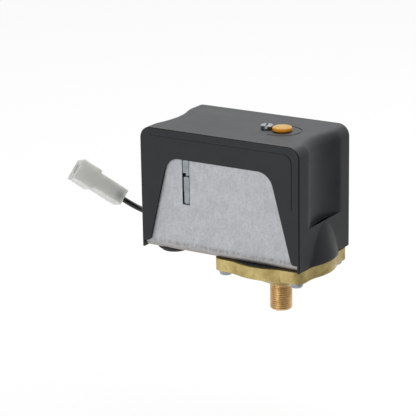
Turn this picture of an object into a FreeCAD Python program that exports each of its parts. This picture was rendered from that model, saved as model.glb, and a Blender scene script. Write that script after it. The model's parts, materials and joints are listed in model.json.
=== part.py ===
import FreeCAD, Part
import math
import os
import re
import Sketcher

# Mechanical pressure switch: a brass pressure port with a rubber diaphragm under a galvanised frame,
# a rocker lever loaded by a range spring and a differential spring, a three-pole contact set,
# and a moulded cover with a setting knob. Millimetres. The origin is on the port's axis at the
# shoulder of its thread, +Z up, +X to the right along the front plate, and the front faces -Y.

doc = FreeCAD.newDocument("PressureSwitch")
sheet = doc.addObject("Spreadsheet::Sheet", "Sizes")
working = doc.addObject("Spreadsheet::Sheet", "Working")

sizes = {
    # moulded cover
    "cover_left": (76.0, "port axis to the left wall"),
    "cover_right": (28.7, "port axis to the right wall"),
    "cover_depth": (59.8, "front face to back face"),
    "cover_bottom": (18.5, "lower edge of the side walls"),
    "cover_height": (72.6, "lower edge to top"),
    "cover_wall": (1.4, "wall of the sides, back and top"),
    "front_wall": (1.6, "wall of the front panel"),
    "cover_corner": (7.0, "rounding of the two top edges"),
    "grip_depth": (3.4, "thumb recess at its middle"),
    "grip_half_width": (18.3, "half width of a thumb recess"),
    "grip_foot": (41.7, "height of the recess's ledge"),
    "grip_blend": (10.0, "rounding where a recess meets the side wall"),
    "cover_edge": (0.7, "rounding of the front and back edges"),
    "slit_lip": (0.4, "lip left outside the release slit"),
    "slit_ledge": (0.8, "ledge left inside the release slit"),
    "bulge_radius": (33.2, "foot of the bulge over the diaphragm"),
    "bulge_top": (41.0, "height where the bulge fades out"),
    "window_top": (74.4, "top of the window in the front panel"),
    "window_top_left": (57.9, "window's top left corner from the axis"),
    "window_top_right": (9.7, "window's top right corner from the axis"),
    "window_foot_left": (70.8, "window's lower left corner from the axis"),
    "window_foot_right": (23.6, "window's lower right corner from the axis"),
    "window_foot": (22.6, "lower edge of the front panel's two legs"),
    "window_corner": (10.0, "rounding of the window's top corners"),
    "window_toe": (2.4, "rounding where the window runs out"),
    "panel_step": (0.5, "depth of the line round the front panel"),
    "panel_line": (0.8, "width of that line"),
    "panel_margin": (4.3, "rim to the right of the line"),
    "panel_top_margin": (3.9, "rim above the line"),
    "panel_corner": (6.0, "rounding of the line's corner"),
    "panel_start": (7.0, "left wall to the line's left end"),
    "panel_foot": (55.0, "height where the line ends"),
    "arc_radius": (11.0, "setting arc round the knob"),
    "arc_width": (0.8, "groove of the setting arc"),
    "arc_depth": (0.35, "depth of that groove"),
    "nib_half_width": (3.2, "snap nib on the side wall"),
    "nib_bottom": (30.2, "lower edge of a snap nib"),
    "nib_height": (3.2, "height of a snap nib"),
    "nib_reach": (1.5, "how far a nib stands in its window"),
    # galvanised frame
    "steel": (1.8, "sheet thickness"),
    "bend": (0.6, "inside radius of a bend"),
    "frame_gap": (0.2, "frame edge to cover wall"),
    "front_gap": (0.2, "front plate to front panel"),
    "plate_top": (79.0, "top of the front plate"),
    "plate_shoulder": (28.0, "height where the plate's sides slope in"),
    "plate_lap": (4.5, "how far the plate laps behind the panel"),
    "slot_x": (46.4, "flag slot from the port axis"),
    "slot_width": (4.5, "flag slot across"),
    "slot_corner": (1.3, "rounding of the slot's corners"),
    "slot_drop": (4.4, "lower end of the flag slot below the carrier's top"),
    "slot_length": (26.5, "flag slot, end to end"),
    "tab_height": (37.0, "top of the snap tabs"),
    "tab_half_width": (6.0, "half width of a snap tab"),
    "left_tab_y": (16.0, "left snap tab behind the middle"),
    "tab_clearance": (0.4, "snap window round its nib"),
    # brass port and diaphragm
    "thread_radius": (6.5785, "G 1/4 major radius"),
    "thread_length": (16.0, "threaded stub"),
    "thread_chamfer": (0.9, "chamfer of the stub's end"),
    "port_bore": (2.6, "radius of the inlet bore"),
    "spigot_radius": (4.8, "nipple's spigot in the casting"),
    "spigot_length": (6.0, "its depth in the casting"),
    "dome_foot": (7.4, "radius of the dome at the shoulder"),
    "dome_rim": (25.0, "radius of the dome at the flange"),
    "flange_bottom": (11.2, "underside of the flange"),
    "flange_thickness": (7.1, "flange at its rim"),
    "flange_half": (29.0, "port axis to an ear's side"),
    "flange_round": (32.5, "radius of the round body"),
    "ear_radius": (6.0, "rounding of the ears"),
    "flange_blend": (25.0, "hollow between the round body and an ear"),
    "chamber_radius": (20.0, "pressure chamber"),
    "chamber_depth": (3.0, "chamber below the diaphragm"),
    "bolt_half": (23.2, "port axis to a screw, both ways"),
    "bolt_radius": (1.98, "M4 screw"),
    "bolt_hole": (2.25, "clearance hole for it"),
    "bolt_head": (3.9, "screw head radius"),
    "bolt_head_height": (2.8, "screw head height"),
    "diaphragm_thickness": (0.6, "rubber sheet"),
    "diaphragm_half": (26.2, "port axis to its straight side"),
    "diaphragm_round": (30.6, "radius of its round part"),
    # plunger, lever and yoke
    "plate_radius": (16.5, "pressure plate"),
    "plate_thickness": (3.0, "pressure plate"),
    "plate_clearance": (0.5, "pressure plate in the base"),
    "stem_radius": (4.0, "plunger stem"),
    "rest_gap": (0.3, "plunger to lever, and lever to carrier"),
    "lever_bottom": (33.2, "underside of the lever"),
    "lever_floor": (2.0, "floor of the channel"),
    "lever_half_width": (11.0, "channel over its flanges"),
    "lever_flange": (1.7, "flange thickness"),
    "lever_nose": (24.0, "port axis to the tip of the nose"),
    "lever_land": (5.0, "length of the solid nose"),
    "lever_nose_top": (36.8, "top of the nose"),
    "lever_ear_top": (42.0, "top of the flanges at the pivot"),
    "pivot_x": (18.0, "port axis to the pivot"),
    "pivot_z": (38.0, "height of the pivot"),
    "pivot_radius": (2.0, "pivot pin"),
    "running_gap": (0.05, "radial play of turning and sliding pieces"),
    "seat_gap": (0.02, "radial play of fixed pins and screws"),
    "yoke_left": (17.0, "port axis to the yoke's left edge"),
    "yoke_right": (13.0, "port axis to the yoke's right edge"),
    "yoke_ear": (22.5, "port axis to the pivot ears' edge"),
    "yoke_ear_top": (44.0, "top of the pivot ears"),
    "yoke_top": (80.0, "top of the yoke"),
    "yoke_gap": (0.8, "end of a foot to the frame's bend"),
    "yoke_foot_length": (7.2, "inside of a leg to the end of its foot"),
    "yoke_screw_inset": (4.5, "screw from the yoke's edge"),
    # adjusters
    "range_x": (1.9, "range spindle right of the port axis"),
    "adjust_y": (-1.2, "both adjusters, from the middle"),
    "differential_x": (-8.0, "differential screw, from the port axis"),
    "range_radius": (2.48, "M5 spindle"),
    "differential_radius": (1.98, "M4 screw"),
    "knob_radius": (5.65, "setting knob"),
    "knob_height": (2.1, "setting knob above the cover's gap"),
    "knob_gap": (0.3, "knob and screw head above the cover"),
    "knob_stem": (3.4, "knob stem radius"),
    "knob_dish": (0.5, "hollow of the knob's top"),
    "differential_head": (3.6, "screw head radius"),
    "driver_slot": (1.4, "width of the screwdriver slot"),
    "driver_turn": (20.0, "heading of that slot, degrees"),
    "nut_bottom": (62.0, "underside of both nuts"),
    "nut_height": (5.0, "height of both nuts"),
    "nut_reach": (21.0, "middle to the end of a nut bar"),
    "range_nut_half": (4.0, "half width of the range nut"),
    "differential_nut_half": (2.8, "half width of the differential nut"),
    "nut_travel": (2.5, "travel of a nut each way"),
    "range_coil": (4.6, "mean radius of the range spring"),
    "range_wire": (1.6, "its wire"),
    "range_turns": (6.0, "its turns"),
    "differential_coil": (2.75, "mean radius of the differential spring"),
    "differential_wire": (0.8, "its wire"),
    "differential_turns": (8.0, "its turns"),
    # contact set
    "block_left": (66.0, "port axis to the block's left end"),
    "block_right": (26.0, "port axis to the block's right end"),
    "block_clearance": (1.9, "block to the base's back edge"),
    "block_depth": (27.4, "block, front to back"),
    "block_height": (14.3, "block above the base"),
    "lug_reach": (5.0, "screw lugs beyond the block"),
    "pole_pitch": (8.2, "pole to pole"),
    "strip_half": (2.2, "half width of a contact strip"),
    "strip_thickness": (1.0, "contact strip"),
    "tip_radius": (1.6, "contact tip"),
    "tip_height": (0.9, "fixed contact tip"),
    "contact_reach": (8.5, "carrier to a contact tip"),
    "terminal_reach": (16.0, "carrier to a terminal screw"),
    "terminal_depth": (6.0, "terminal screw in the block"),
    "contact_gap": (0.1, "moving tip above the fixed tip at rest"),
    "carrier_x": (46.0, "port axis to the carrier"),
    "carrier_half": (2.5, "half thickness of the carrier"),
    "carrier_lead": (8.0, "carrier ahead of the block"),
    "carrier_inset": (1.0, "carrier short of the block's back"),
    "carrier_bottom": (30.0, "lower edge of the carrier"),
    "carrier_top": (52.0, "upper edge of the carrier"),
    "carrier_window": (46.4, "top of the windows"),
    "carrier_play": (0.4, "carrier in its groove"),
    "carrier_arm": (17.6, "port axis to the end of the arm"),
    "contact_coil": (1.6, "mean radius of a contact spring"),
    "contact_wire": (0.5, "its wire"),
    "contact_turns": (4.0, "its turns"),
    "flag_sheet": (1.2, "flag and guide sheet"),
    "flag_rise": (3.3, "flag's step above the carrier's top"),
    "tongue_length": (8.6, "flag's tongue above its step"),
    "flag_gap": (0.25, "flag and its guide to the front plate"),
    "flag_edge": (0.8, "flag to the slot's left edge, and its tip's rounding"),
    "flag_joggle": (0.35, "lower part of the flag behind its tongue"),
    "carrier_travel": (2.1, "lift of the carrier"),
    "guide_foot": (9.5, "length of the guide's foot"),
    "guide_screw_inset": (3.5, "screw from the foot's end"),
    "guide_top": (75.0, "top of the guide bracket"),
    "guide_half": (7.0, "half width of the guide bracket"),
    "earth_x": (32.0, "earth screw left of the port axis"),
    "earth_inset": (10.8, "earth screw behind the front plate"),
    # cable entry, lead and connector
    "grommet_x": (61.6, "cable grommet left of the port axis"),
    "grommet_inset": (9.1, "cable grommet behind the front plate"),
    "grommet_lip": (9.8, "radius of the grommet's lip"),
    "grommet_neck": (7.0, "radius of its groove"),
    "grommet_bore": (4.5, "radius of its bore"),
    "grommet_drop": (3.1, "lip below the base"),
    "bush_y": (3.7, "lead bush behind the middle"),
    "bush_z": (26.1, "height of the lead bush"),
    "bush_lip": (4.6, "outer lip of the bush"),
    "bush_neck": (3.4, "neck of the bush"),
    "bush_outside": (2.4, "length of the bush outside the wall"),
    "lead_radius": (1.7, "lead"),
    "core_radius": (1.1, "stripped core inside"),
    "plug_length": (33.0, "connector housing"),
    "plug_head": (13.0, "length of its wide half"),
    "plug_height": (13.4, "wide half, tall way"),
    "plug_waist": (10.1, "narrow half, tall way"),
    "plug_depth": (13.0, "both halves, the other way"),
    "plug_cavity": (7.2, "mating cavity across"),
    "plug_cavity_depth": (14.0, "mating cavity inwards"),
    "plug_edge": (0.7, "rounding of the housing's edges"),
    "plug_yaw": (-137.5, "heading of the connector, degrees"),
    "plug_pitch": (-36.9, "its climb, degrees"),
    "plug_roll": (21.4, "its roll, degrees"),
    # small screws
    "small_screw": (1.48, "M3 screw radius"),
    "small_hole": (1.7, "clearance hole for it"),
    "small_head": (2.55, "its head"),
    "small_head_height": (1.8, "its head"),
    # places that follow from the sizes above
    "plate_inside": ("=cover_depth / 2 - front_wall - front_gap - steel", "middle to the plate's back"),
    "yoke_foot": ("=plate_inside - bend - yoke_gap", "middle to the end of a foot"),
    "yoke_half": ("=yoke_foot - yoke_foot_length", "middle to the inside of a leg"),
    "block_back": ("=cover_depth / 2 - cover_wall - frame_gap - block_clearance", "back of the block"),
    "block_front": ("=block_back - block_depth", "front of the block"),
    "carrier_front": ("=block_front - carrier_lead", "front of the carrier"),
    "carrier_back": ("=block_back - carrier_inset", "back of the carrier"),
    "slot_bottom": ("=carrier_top - slot_drop", "lower end of the flag slot"),
    "slot_top": ("=slot_bottom + slot_length", "upper end of the flag slot"),
    "flag_shoulder": ("=carrier_top + flag_rise", "height where the flag steps back"),
    "flag_tip": ("=flag_shoulder + tongue_length", "tip of the flag"),
    "grommet_y": ("=plate_inside - grommet_inset", "cable grommet ahead of the middle"),
    "earth_y": ("=plate_inside - earth_inset", "earth screw ahead of the middle"),
}

for row, (alias, (value, note)) in enumerate(sizes.items(), 1):
    sheet.set("A%d" % row, alias)
    sheet.set("B%d" % row, str(value))
    sheet.setAlias("B%d" % row, alias)
    sheet.set("C%d" % row, note)
doc.recompute()

# Places that follow from the sizes, as formulas on them.
cover_top = "(cover_bottom + cover_height)"
half_depth = "(cover_depth / 2)"
flange_top = "(flange_bottom + flange_thickness)"
base_bottom = "(flange_bottom + flange_thickness + diaphragm_thickness)"
base_top = "(flange_bottom + flange_thickness + diaphragm_thickness + steel)"
base_left = "(-cover_left + cover_wall + frame_gap)"
base_right = "(cover_right - cover_wall - frame_gap)"
base_back = "(cover_depth / 2 - cover_wall - frame_gap)"
plate_front = "(-cover_depth / 2 + front_wall + front_gap)"
plate_back = "(-cover_depth / 2 + front_wall + front_gap + steel)"
block_top = base_top[:-1] + " + block_height)"
strip_top = block_top[:-1] + " + strip_thickness)"
tip_top = strip_top[:-1] + " + tip_height)"
bridge_tip = tip_top[:-1] + " + contact_gap)"
bridge_bottom = bridge_tip[:-1] + " + tip_height)"
bridge_top = bridge_bottom[:-1] + " + strip_thickness)"
arm_bottom = "(lever_nose_top + rest_gap)"
yoke_under = "(yoke_top - steel)"
nut_top = "(nut_bottom + nut_height)"
lever_seat = "(lever_bottom + lever_floor)"

nodes = {}


def bound(formula):
    def named(match):
        word = match.group(0)
        return "Sizes." + word if word in sizes else word
    return re.sub(r"[a-z][a-z_0-9]*", named, str(formula))


def number(formula):
    working.set("A1", "=" + bound(formula))
    working.recompute()
    return float(working.get("A1"))


def place(obj, x, y, z):
    for letter, formula in zip("xyz", (x, y, z)):
        obj.setExpression("Placement.Base." + letter, bound(formula))


def block(name, x0, x1, y0, y1, z0, z1):
    obj = doc.addObject("Part::Box", name)
    obj.setExpression("Length", bound("(%s) - (%s)" % (x1, x0)))
    obj.setExpression("Width", bound("(%s) - (%s)" % (y1, y0)))
    obj.setExpression("Height", bound("(%s) - (%s)" % (z1, z0)))
    place(obj, x0, y0, z0)
    return obj


turns = {
    "Z": FreeCAD.Rotation(),
    "X": FreeCAD.Rotation(FreeCAD.Vector(0, 1, 0), 90),
    "Y": FreeCAD.Rotation(FreeCAD.Vector(1, 0, 0), -90),
}


def rod(name, radius, x, y, z, length, axis="Z"):
    obj = doc.addObject("Part::Cylinder", name)
    obj.setExpression("Radius", bound(radius))
    obj.setExpression("Height", bound(length))
    obj.Placement = FreeCAD.Placement(FreeCAD.Vector(), turns[axis])
    place(obj, x, y, z)
    return obj


def fuse(name, *shapes):
    obj = doc.addObject("Part::MultiFuse", name)
    obj.Shapes = list(shapes)
    obj.Refine = True
    return obj


def cut(name, base, *tools):
    obj = doc.addObject("Part::Cut", name)
    obj.Base = base
    obj.Tool = tools[0] if len(tools) == 1 else fuse(name + "_tools", *tools)
    obj.Refine = True
    return obj


def common(name, *shapes):
    obj = doc.addObject("Part::MultiCommon", name)
    obj.Shapes = list(shapes)
    return obj


def group(name, members):
    obj = doc.addObject("Part::Compound", name)
    obj.Links = members
    return obj


def outline(body, plane, points, offset):
    sketch = body.newObject("Sketcher::SketchObject", body.Name + "_outline")
    support = [f for f in body.Origin.OriginFeatures if f.Role == plane][0]
    sketch.AttachmentSupport = (support, [""])
    sketch.MapMode = "FlatFace"
    sketch.setExpression("AttachmentOffset.Base.z", bound(offset))
    spots = [FreeCAD.Vector(number(u), number(v), 0) for u, v in points]
    count = len(points)
    for i in range(count):
        sketch.addGeometry(Part.LineSegment(spots[i], spots[(i + 1) % count]), False)
    for i in range(count):
        sketch.addConstraint(Sketcher.Constraint("Coincident", i, 2, (i + 1) % count, 1))
    for i, (u, v) in enumerate(points):
        for kind, formula, value in (("DistanceX", u, spots[i].x), ("DistanceY", v, spots[i].y)):
            index = sketch.addConstraint(Sketcher.Constraint(kind, -1, 1, i, 1, value))
            sketch.setExpression("Constraints[%d]" % index, bound(formula))
    return sketch


def circles(body, name, rings, offset):
    # A sketch of whole circles across the upright axis: each has a middle and a radius.
    sketch = body.newObject("Sketcher::SketchObject", name)
    support = [f for f in body.Origin.OriginFeatures if f.Role == "XY_Plane"][0]
    sketch.AttachmentSupport = (support, [""])
    sketch.MapMode = "FlatFace"
    sketch.setExpression("AttachmentOffset.Base.z", bound(offset))
    for i, (x, y, radius) in enumerate(rings):
        middle = FreeCAD.Vector(number(x), number(y), 0)
        sketch.addGeometry(Part.Circle(middle, FreeCAD.Vector(0, 0, 1), number(radius)), False)
        for kind, formula, value in (("DistanceX", x, middle.x), ("DistanceY", y, middle.y)):
            index = sketch.addConstraint(Sketcher.Constraint(kind, -1, 1, i, 3, value))
            sketch.setExpression("Constraints[%d]" % index, bound(formula))
        index = sketch.addConstraint(Sketcher.Constraint("Radius", i, number(radius)))
        sketch.setExpression("Constraints[%d]" % index, bound(radius))
    return sketch


def prism(name, plane, points, low, high):
    # A pad of a straight-sided outline between two heights along the plane's own axis.
    body = doc.addObject("PartDesign::Body", name)
    start = "-(%s)" % high if plane == "XZ_Plane" else low
    sketch = outline(body, plane, points, start)
    pad = body.newObject("PartDesign::Pad", name + "_pad")
    pad.Profile = sketch
    pad.setExpression("Length", bound("(%s) - (%s)" % (high, low)))
    body.Tip = pad
    doc.recompute()
    return body


def turned(name, points, x="0", y="0", z="0"):
    # A revolved half-section: each point is a radius and a height.
    body = doc.addObject("PartDesign::Body", name)
    sketch = outline(body, "XZ_Plane", points, "0")
    spin = body.newObject("PartDesign::Revolution", name + "_spin")
    spin.Profile = sketch
    spin.ReferenceAxis = (sketch, ["V_Axis"])
    spin.Angle = 360
    body.Tip = spin
    place(body, x, y, z)
    doc.recompute()
    return body


def rounded(body, radius, wanted):
    # Rounds the edges that the test picks by their middle point and direction.
    doc.recompute()
    names = []
    for i, edge in enumerate(body.Tip.Shape.Edges, 1):
        middle = edge.valueAt((edge.FirstParameter + edge.LastParameter) / 2)
        ends = [v.Point for v in edge.Vertexes]
        way = ends[-1].sub(ends[0]) if len(ends) == 2 else FreeCAD.Vector()
        if way.Length > 0 and wanted(middle, way.normalize()):
            names.append("Edge%d" % i)
    tip = body.Tip
    feature = body.newObject("PartDesign::Fillet", "%s_round%d" % (body.Name, len(body.Group)))
    feature.Base = (tip, names)
    feature.setExpression("Radius", bound(radius))
    body.Tip = feature
    doc.recompute()
    return body


def along(axis):
    index = "XYZ".index(axis)
    return lambda way: abs(way[index]) > 0.99


def near(value, formula):
    return abs(value - number(formula)) < 0.05


def coil(name, radius, wire, turns_count, x, y, low, high):
    # A compression spring between two seats, with a closed turn at each end. Its wire is six-sided and
    # each turn has ten straight steps, which keeps its faces few.
    thick = number(wire)
    rise = number("(%s) - (%s)" % (high, low)) - thick
    count = number(turns_count)
    closed = 1.25 * thick
    steps = int(round(count * 10))
    spots = []
    for i in range(steps + 1):
        turn = count * i / steps
        height = closed * min(turn, 1) + closed * max(turn - count + 1, 0)
        height += (rise - 2 * closed) * min(max(turn - 1, 0), count - 2) / (count - 2)
        angle = 2 * math.pi * turn
        spots.append(FreeCAD.Vector(number(radius) * math.cos(angle), number(radius) * math.sin(angle), height))
    forward = spots[1].sub(spots[0]).normalize()
    outward = FreeCAD.Vector(1, 0, 0)
    outward = outward.sub(forward.multiply(outward.dot(forward))).normalize()
    forward = spots[1].sub(spots[0]).normalize()
    across = forward.cross(outward)
    corners = []
    for i in range(7):
        angle = math.pi / 3 * i
        side = FreeCAD.Vector(outward).multiply(thick / 2 * math.cos(angle))
        corners.append(spots[0].add(side).add(FreeCAD.Vector(across).multiply(thick / 2 * math.sin(angle))))
    obj = doc.addObject("Part::Feature", name)
    obj.Shape = Part.makePolygon(spots).makePipeShell([Part.makePolygon(corners)], True, False, 1)
    base = FreeCAD.Vector(number(x), number(y), number("(%s) + (%s) / 2" % (low, wire)))
    obj.Placement = FreeCAD.Placement(base, FreeCAD.Rotation())
    return obj


def driver_cut(name, x, y, head, low, high):
    # The screwdriver slot across a head.
    return block(name, "(%s) - (%s) - 1" % (x, head), "(%s) + (%s) + 1" % (x, head),
                 "(%s) - (%s) * 0.16" % (y, head), "(%s) + (%s) * 0.16" % (y, head), low, high)


def screw(name, x, y, seat, tip, radius, head, head_height):
    # A slotted screw with a cheese head that stands on its seat.
    shank = rod(name + "_shank", radius, x, y, tip, "(%s) - (%s)" % (seat, tip))
    cap = rod(name + "_cap", head, x, y, seat, head_height)
    slot = driver_cut(name + "_slot", x, y, head, "(%s) + (%s) * 0.5" % (seat, head_height),
                      "(%s) + (%s) + 1" % (seat, head_height))
    return cut(name, fuse(name + "_blank", shank, cap), slot)


def pan_screw(name, x, y):
    # A flange screw, driven from below, with a domed head under its ear.
    low = "flange_bottom - bolt_head_height"
    blank = turned(name + "_blank", [
        ("0", low),
        ("bolt_head * 0.5", low + " + bolt_head_height * 0.04"),
        ("bolt_head * 0.82", low + " + bolt_head_height * 0.22"),
        ("bolt_head", low + " + bolt_head_height * 0.58"),
        ("bolt_head", "flange_bottom"),
        ("bolt_radius", "flange_bottom"),
        ("bolt_radius", base_top),
        ("0", base_top),
    ], x, y)
    return cut(name, blank, driver_cut(name + "_slot", x, y, "bolt_head", low + " - 1",
                                       low + " + bolt_head_height * 0.5"))


def keep(label, obj):
    obj.Label = label
    nodes[label] = obj
    return obj


# Brass port: a domed round casting with four ears and a shallow pressure chamber, and a turned nipple.
def eared_plate(name, half, ear, rim, low, high):
    # A square with rounded ears, joined to a round body.
    corners = [("-(%s)" % half, "-(%s)" % half), (half, "-(%s)" % half), (half, half), ("-(%s)" % half, half)]
    plate = prism(name + "_plate", "XY_Plane", corners, low, high)
    rounded(plate, ear, lambda middle, way: along("Z")(way))
    disc = plate.newObject("PartDesign::Pad", name + "_disc")
    disc.Profile = circles(plate, name + "_rim", [("0", "0", rim)], low)
    disc.setExpression("Length", bound("(%s) - (%s)" % (high, low)))
    plate.Tip = disc
    doc.recompute()
    return plate


bolt_spots = [("bolt_half", "-bolt_half"), ("-bolt_half", "-bolt_half"),
              ("bolt_half", "bolt_half"), ("-bolt_half", "bolt_half")]

flange_plate = eared_plate("flange", "flange_half", "ear_radius", "flange_round", "flange_bottom", flange_top)
meeting = number("flange_half + sqrt(flange_round ^ 2 - flange_half ^ 2)")
rounded(flange_plate, "flange_blend", lambda middle, way: along("Z")(way)
        and abs(abs(middle.x) + abs(middle.y) - meeting) < 0.05)
dome = turned("dome", [
    ("0", "0"),
    ("dome_foot", "0"),
    ("dome_foot + (dome_rim - dome_foot) * 0.45", "flange_bottom * 0.36"),
    ("dome_foot + (dome_rim - dome_foot) * 0.85", "flange_bottom * 0.74"),
    ("dome_rim", "flange_bottom"),
    ("dome_rim", "flange_bottom + flange_thickness / 2"),
    ("0", "flange_bottom + flange_thickness / 2"),
])
chamber = turned("chamber", [
    ("0", "-1"),
    ("spigot_radius + seat_gap", "-1"),
    ("spigot_radius + seat_gap", "spigot_length + seat_gap"),
    ("port_bore", "spigot_length + seat_gap"),
    ("port_bore", flange_top + " - chamber_depth"),
    ("chamber_radius - chamber_depth", flange_top + " - chamber_depth"),
    ("chamber_radius", flange_top),
    ("chamber_radius", flange_top + " + 1"),
    ("0", flange_top + " + 1"),
])
flange_holes = [rod("flange_hole%d" % i, "bolt_hole", x, y, "flange_bottom - 1", "flange_thickness + 2")
                for i, (x, y) in enumerate(bolt_spots)]
keep("port_flange", cut("port_flange", fuse("port_casting", flange_plate, dome), chamber, *flange_holes))
keep("port_nipple", turned("port_nipple", [
    ("port_bore", "-thread_length"),
    ("thread_radius - thread_chamfer", "-thread_length"),
    ("thread_radius", "-thread_length + thread_chamfer"),
    ("thread_radius", "0"),
    ("spigot_radius", "0"),
    ("spigot_radius", "spigot_length"),
    ("port_bore", "spigot_length"),
]))

rubber = eared_plate("rubber", "diaphragm_half", "ear_radius - flange_half + diaphragm_half",
                     "diaphragm_round", flange_top, base_bottom)
rubber_holes = [rod("rubber_hole%d" % i, "bolt_hole", x, y, flange_top + " - 1", "diaphragm_thickness + 2")
                for i, (x, y) in enumerate(bolt_spots)]
keep("diaphragm", cut("diaphragm", rubber, *rubber_holes))

keep("flange_screws", group("flange_screws", [
    pan_screw("flange_screw%d" % i, x, y) for i, (x, y) in enumerate(bolt_spots)]))

# Galvanised frame: base and front plate bent from one sheet, with a snap tab at each end.
angle = prism("frame_angle", "YZ_Plane", [
    (plate_front, base_bottom),
    (base_back, base_bottom),
    (base_back, base_top),
    (plate_back, base_top),
    (plate_back, "plate_top"),
    (plate_front, "plate_top"),
], base_left, base_right)
rounded(angle, "bend + steel", lambda middle, way: along("X")(way) and near(middle.y, plate_front)
        and near(middle.z, base_bottom))
rounded(angle, "bend", lambda middle, way: along("X")(way) and near(middle.y, plate_back)
        and near(middle.z, base_top))


def side_trim(name, edge, corner):
    # The waste beside the front plate's sloping side.
    points = [("(%s) * 2" % edge, "plate_shoulder"), (edge, "plate_shoulder"),
              (corner, "plate_top"), (corner, "plate_top + 5"), ("(%s) * 2" % edge, "plate_top + 5")]
    return prism(name, "XZ_Plane", points, plate_front + " - 5", plate_back + " + 5")


plate_left_corner = "-(window_top_left + plate_lap)"
plate_right_corner = "(window_top_right + plate_lap)"
flag_slot = prism("flag_slot", "XZ_Plane", [
    ("-slot_x - slot_width / 2", "slot_bottom"), ("-slot_x + slot_width / 2", "slot_bottom"),
    ("-slot_x + slot_width / 2", "slot_top"), ("-slot_x - slot_width / 2", "slot_top"),
], plate_front + " - 1", plate_back + " + 1")
rounded(flag_slot, "slot_corner", lambda middle, way: along("Y")(way))

foot_middle = "(yoke_half + yoke_foot + steel) / 2"
yoke_screw_spots = [(x, sign + foot_middle) for sign in ("-", "")
                    for x in ("-yoke_left + yoke_screw_inset", "yoke_right - yoke_screw_inset")]
lug_y = "(block_front + block_back) / 2"
block_screw_spots = [("-block_left - lug_reach * 0.56", lug_y), ("-block_right + lug_reach * 0.56", lug_y)]
guide_face = "(-plate_inside + flag_gap)"
guide_foot_y = guide_face + " + guide_foot - guide_screw_inset"
guide_screw_spots = [("-carrier_x %s (guide_half - guide_screw_inset)" % sign, guide_foot_y) for sign in "-+"]
earth_spot = ("-earth_x", "-earth_y")
tapped_spots = yoke_screw_spots + block_screw_spots + guide_screw_spots + [earth_spot]

through = base_bottom + " - 1"
base_holes = [rod("plunger_hole", "plate_radius + plate_clearance", "0", "0", through, "steel + 2")]
base_holes.append(rod("grommet_hole", "grommet_neck + seat_gap", "-grommet_x", "-grommet_y", through, "steel + 2"))
for i, (x, y) in enumerate(bolt_spots):
    base_holes.append(rod("bolt_tapping%d" % i, "bolt_radius + seat_gap", x, y, through, "steel + 2"))
for i, (x, y) in enumerate(tapped_spots):
    base_holes.append(rod("small_tapping%d" % i, "small_screw + seat_gap", x, y, through, "steel + 2"))

tabs = []
tab_windows = []
for side, inner, outer, middle in (("left", base_left, base_left + " + steel", "left_tab_y"),
                                   ("right", base_right + " - steel", base_right, "0")):
    tabs.append(block(side + "_tab", inner, outer, "(%s) - tab_half_width" % middle,
                      "(%s) + tab_half_width" % middle, base_bottom, "tab_height"))
    tab_windows.append(block(side + "_tab_window", inner + " - 1", outer + " + 1",
                             "(%s) - nib_half_width - tab_clearance" % middle,
                             "(%s) + nib_half_width + tab_clearance" % middle,
                             "nib_bottom - tab_clearance", "nib_bottom + nib_height + tab_clearance"))
keep("frame", cut("frame", fuse("frame_blank", angle, *tabs), side_trim("left_trim", base_left, plate_left_corner),
                  side_trim("right_trim", base_right, plate_right_corner), flag_slot, *base_holes, *tab_windows))

# Plunger: a pressure plate on the diaphragm with a stem and a rounded tip under the lever.
stem_top = "lever_bottom - rest_gap"
keep("plunger", turned("plunger", [
    ("0", base_bottom + " + running_gap"),
    ("plate_radius - 0.8", base_bottom + " + running_gap"),
    ("plate_radius", base_bottom + " + running_gap + 0.8"),
    ("plate_radius", base_bottom + " + plate_thickness"),
    ("stem_radius + 2", base_bottom + " + plate_thickness"),
    ("stem_radius", base_bottom + " + plate_thickness + 2"),
    ("stem_radius", stem_top + " - 1.6"),
    ("stem_radius * 0.7", stem_top + " - 0.5"),
    ("stem_radius * 0.35", stem_top),
    ("0", stem_top),
]))

# Yoke: an inverted U of sheet steel that carries the pivot and both adjusters.
leg_in = "yoke_half"
leg_out = "(yoke_half + steel)"
foot_top = base_top[:-1] + " + steel)"
yoke_blank = prism("yoke_blank", "YZ_Plane", [
    ("-yoke_foot", base_top), ("-" + leg_in, base_top), ("-" + leg_in, yoke_under),
    (leg_in, yoke_under), (leg_in, base_top), ("yoke_foot", base_top),
    ("yoke_foot", foot_top), (leg_out, foot_top), (leg_out, "yoke_top"),
    ("-" + leg_out, "yoke_top"), ("-" + leg_out, foot_top), ("-yoke_foot", foot_top),
], "-yoke_left", "yoke_ear")
rounded(yoke_blank, "bend + steel", lambda middle, way: along("X")(way) and near(middle.z, "yoke_top"))
rounded(yoke_blank, "bend", lambda middle, way: along("X")(way) and near(middle.z, yoke_under))
ear_trim = block("ear_trim", "yoke_right", "yoke_ear + 1", "-yoke_foot", "yoke_foot", "yoke_ear_top", "yoke_top + 1")
foot_trims = [block("foot_trim%d" % i, "yoke_right", "yoke_ear + 1", low, high, base_top + " - 1", foot_top + " + 1")
              for i, (low, high) in enumerate((("-yoke_foot - 1", "-" + leg_out), (leg_out, "yoke_foot + 1")))]


def nut_slot(name, middle, half):
    return block(name, "(%s) - (%s) - carrier_play / 2" % (middle, half),
                 "(%s) + (%s) + carrier_play / 2" % (middle, half), "-yoke_foot", "yoke_foot",
                 "nut_bottom - nut_travel - rest_gap", nut_top + " + nut_travel + rest_gap")


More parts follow.
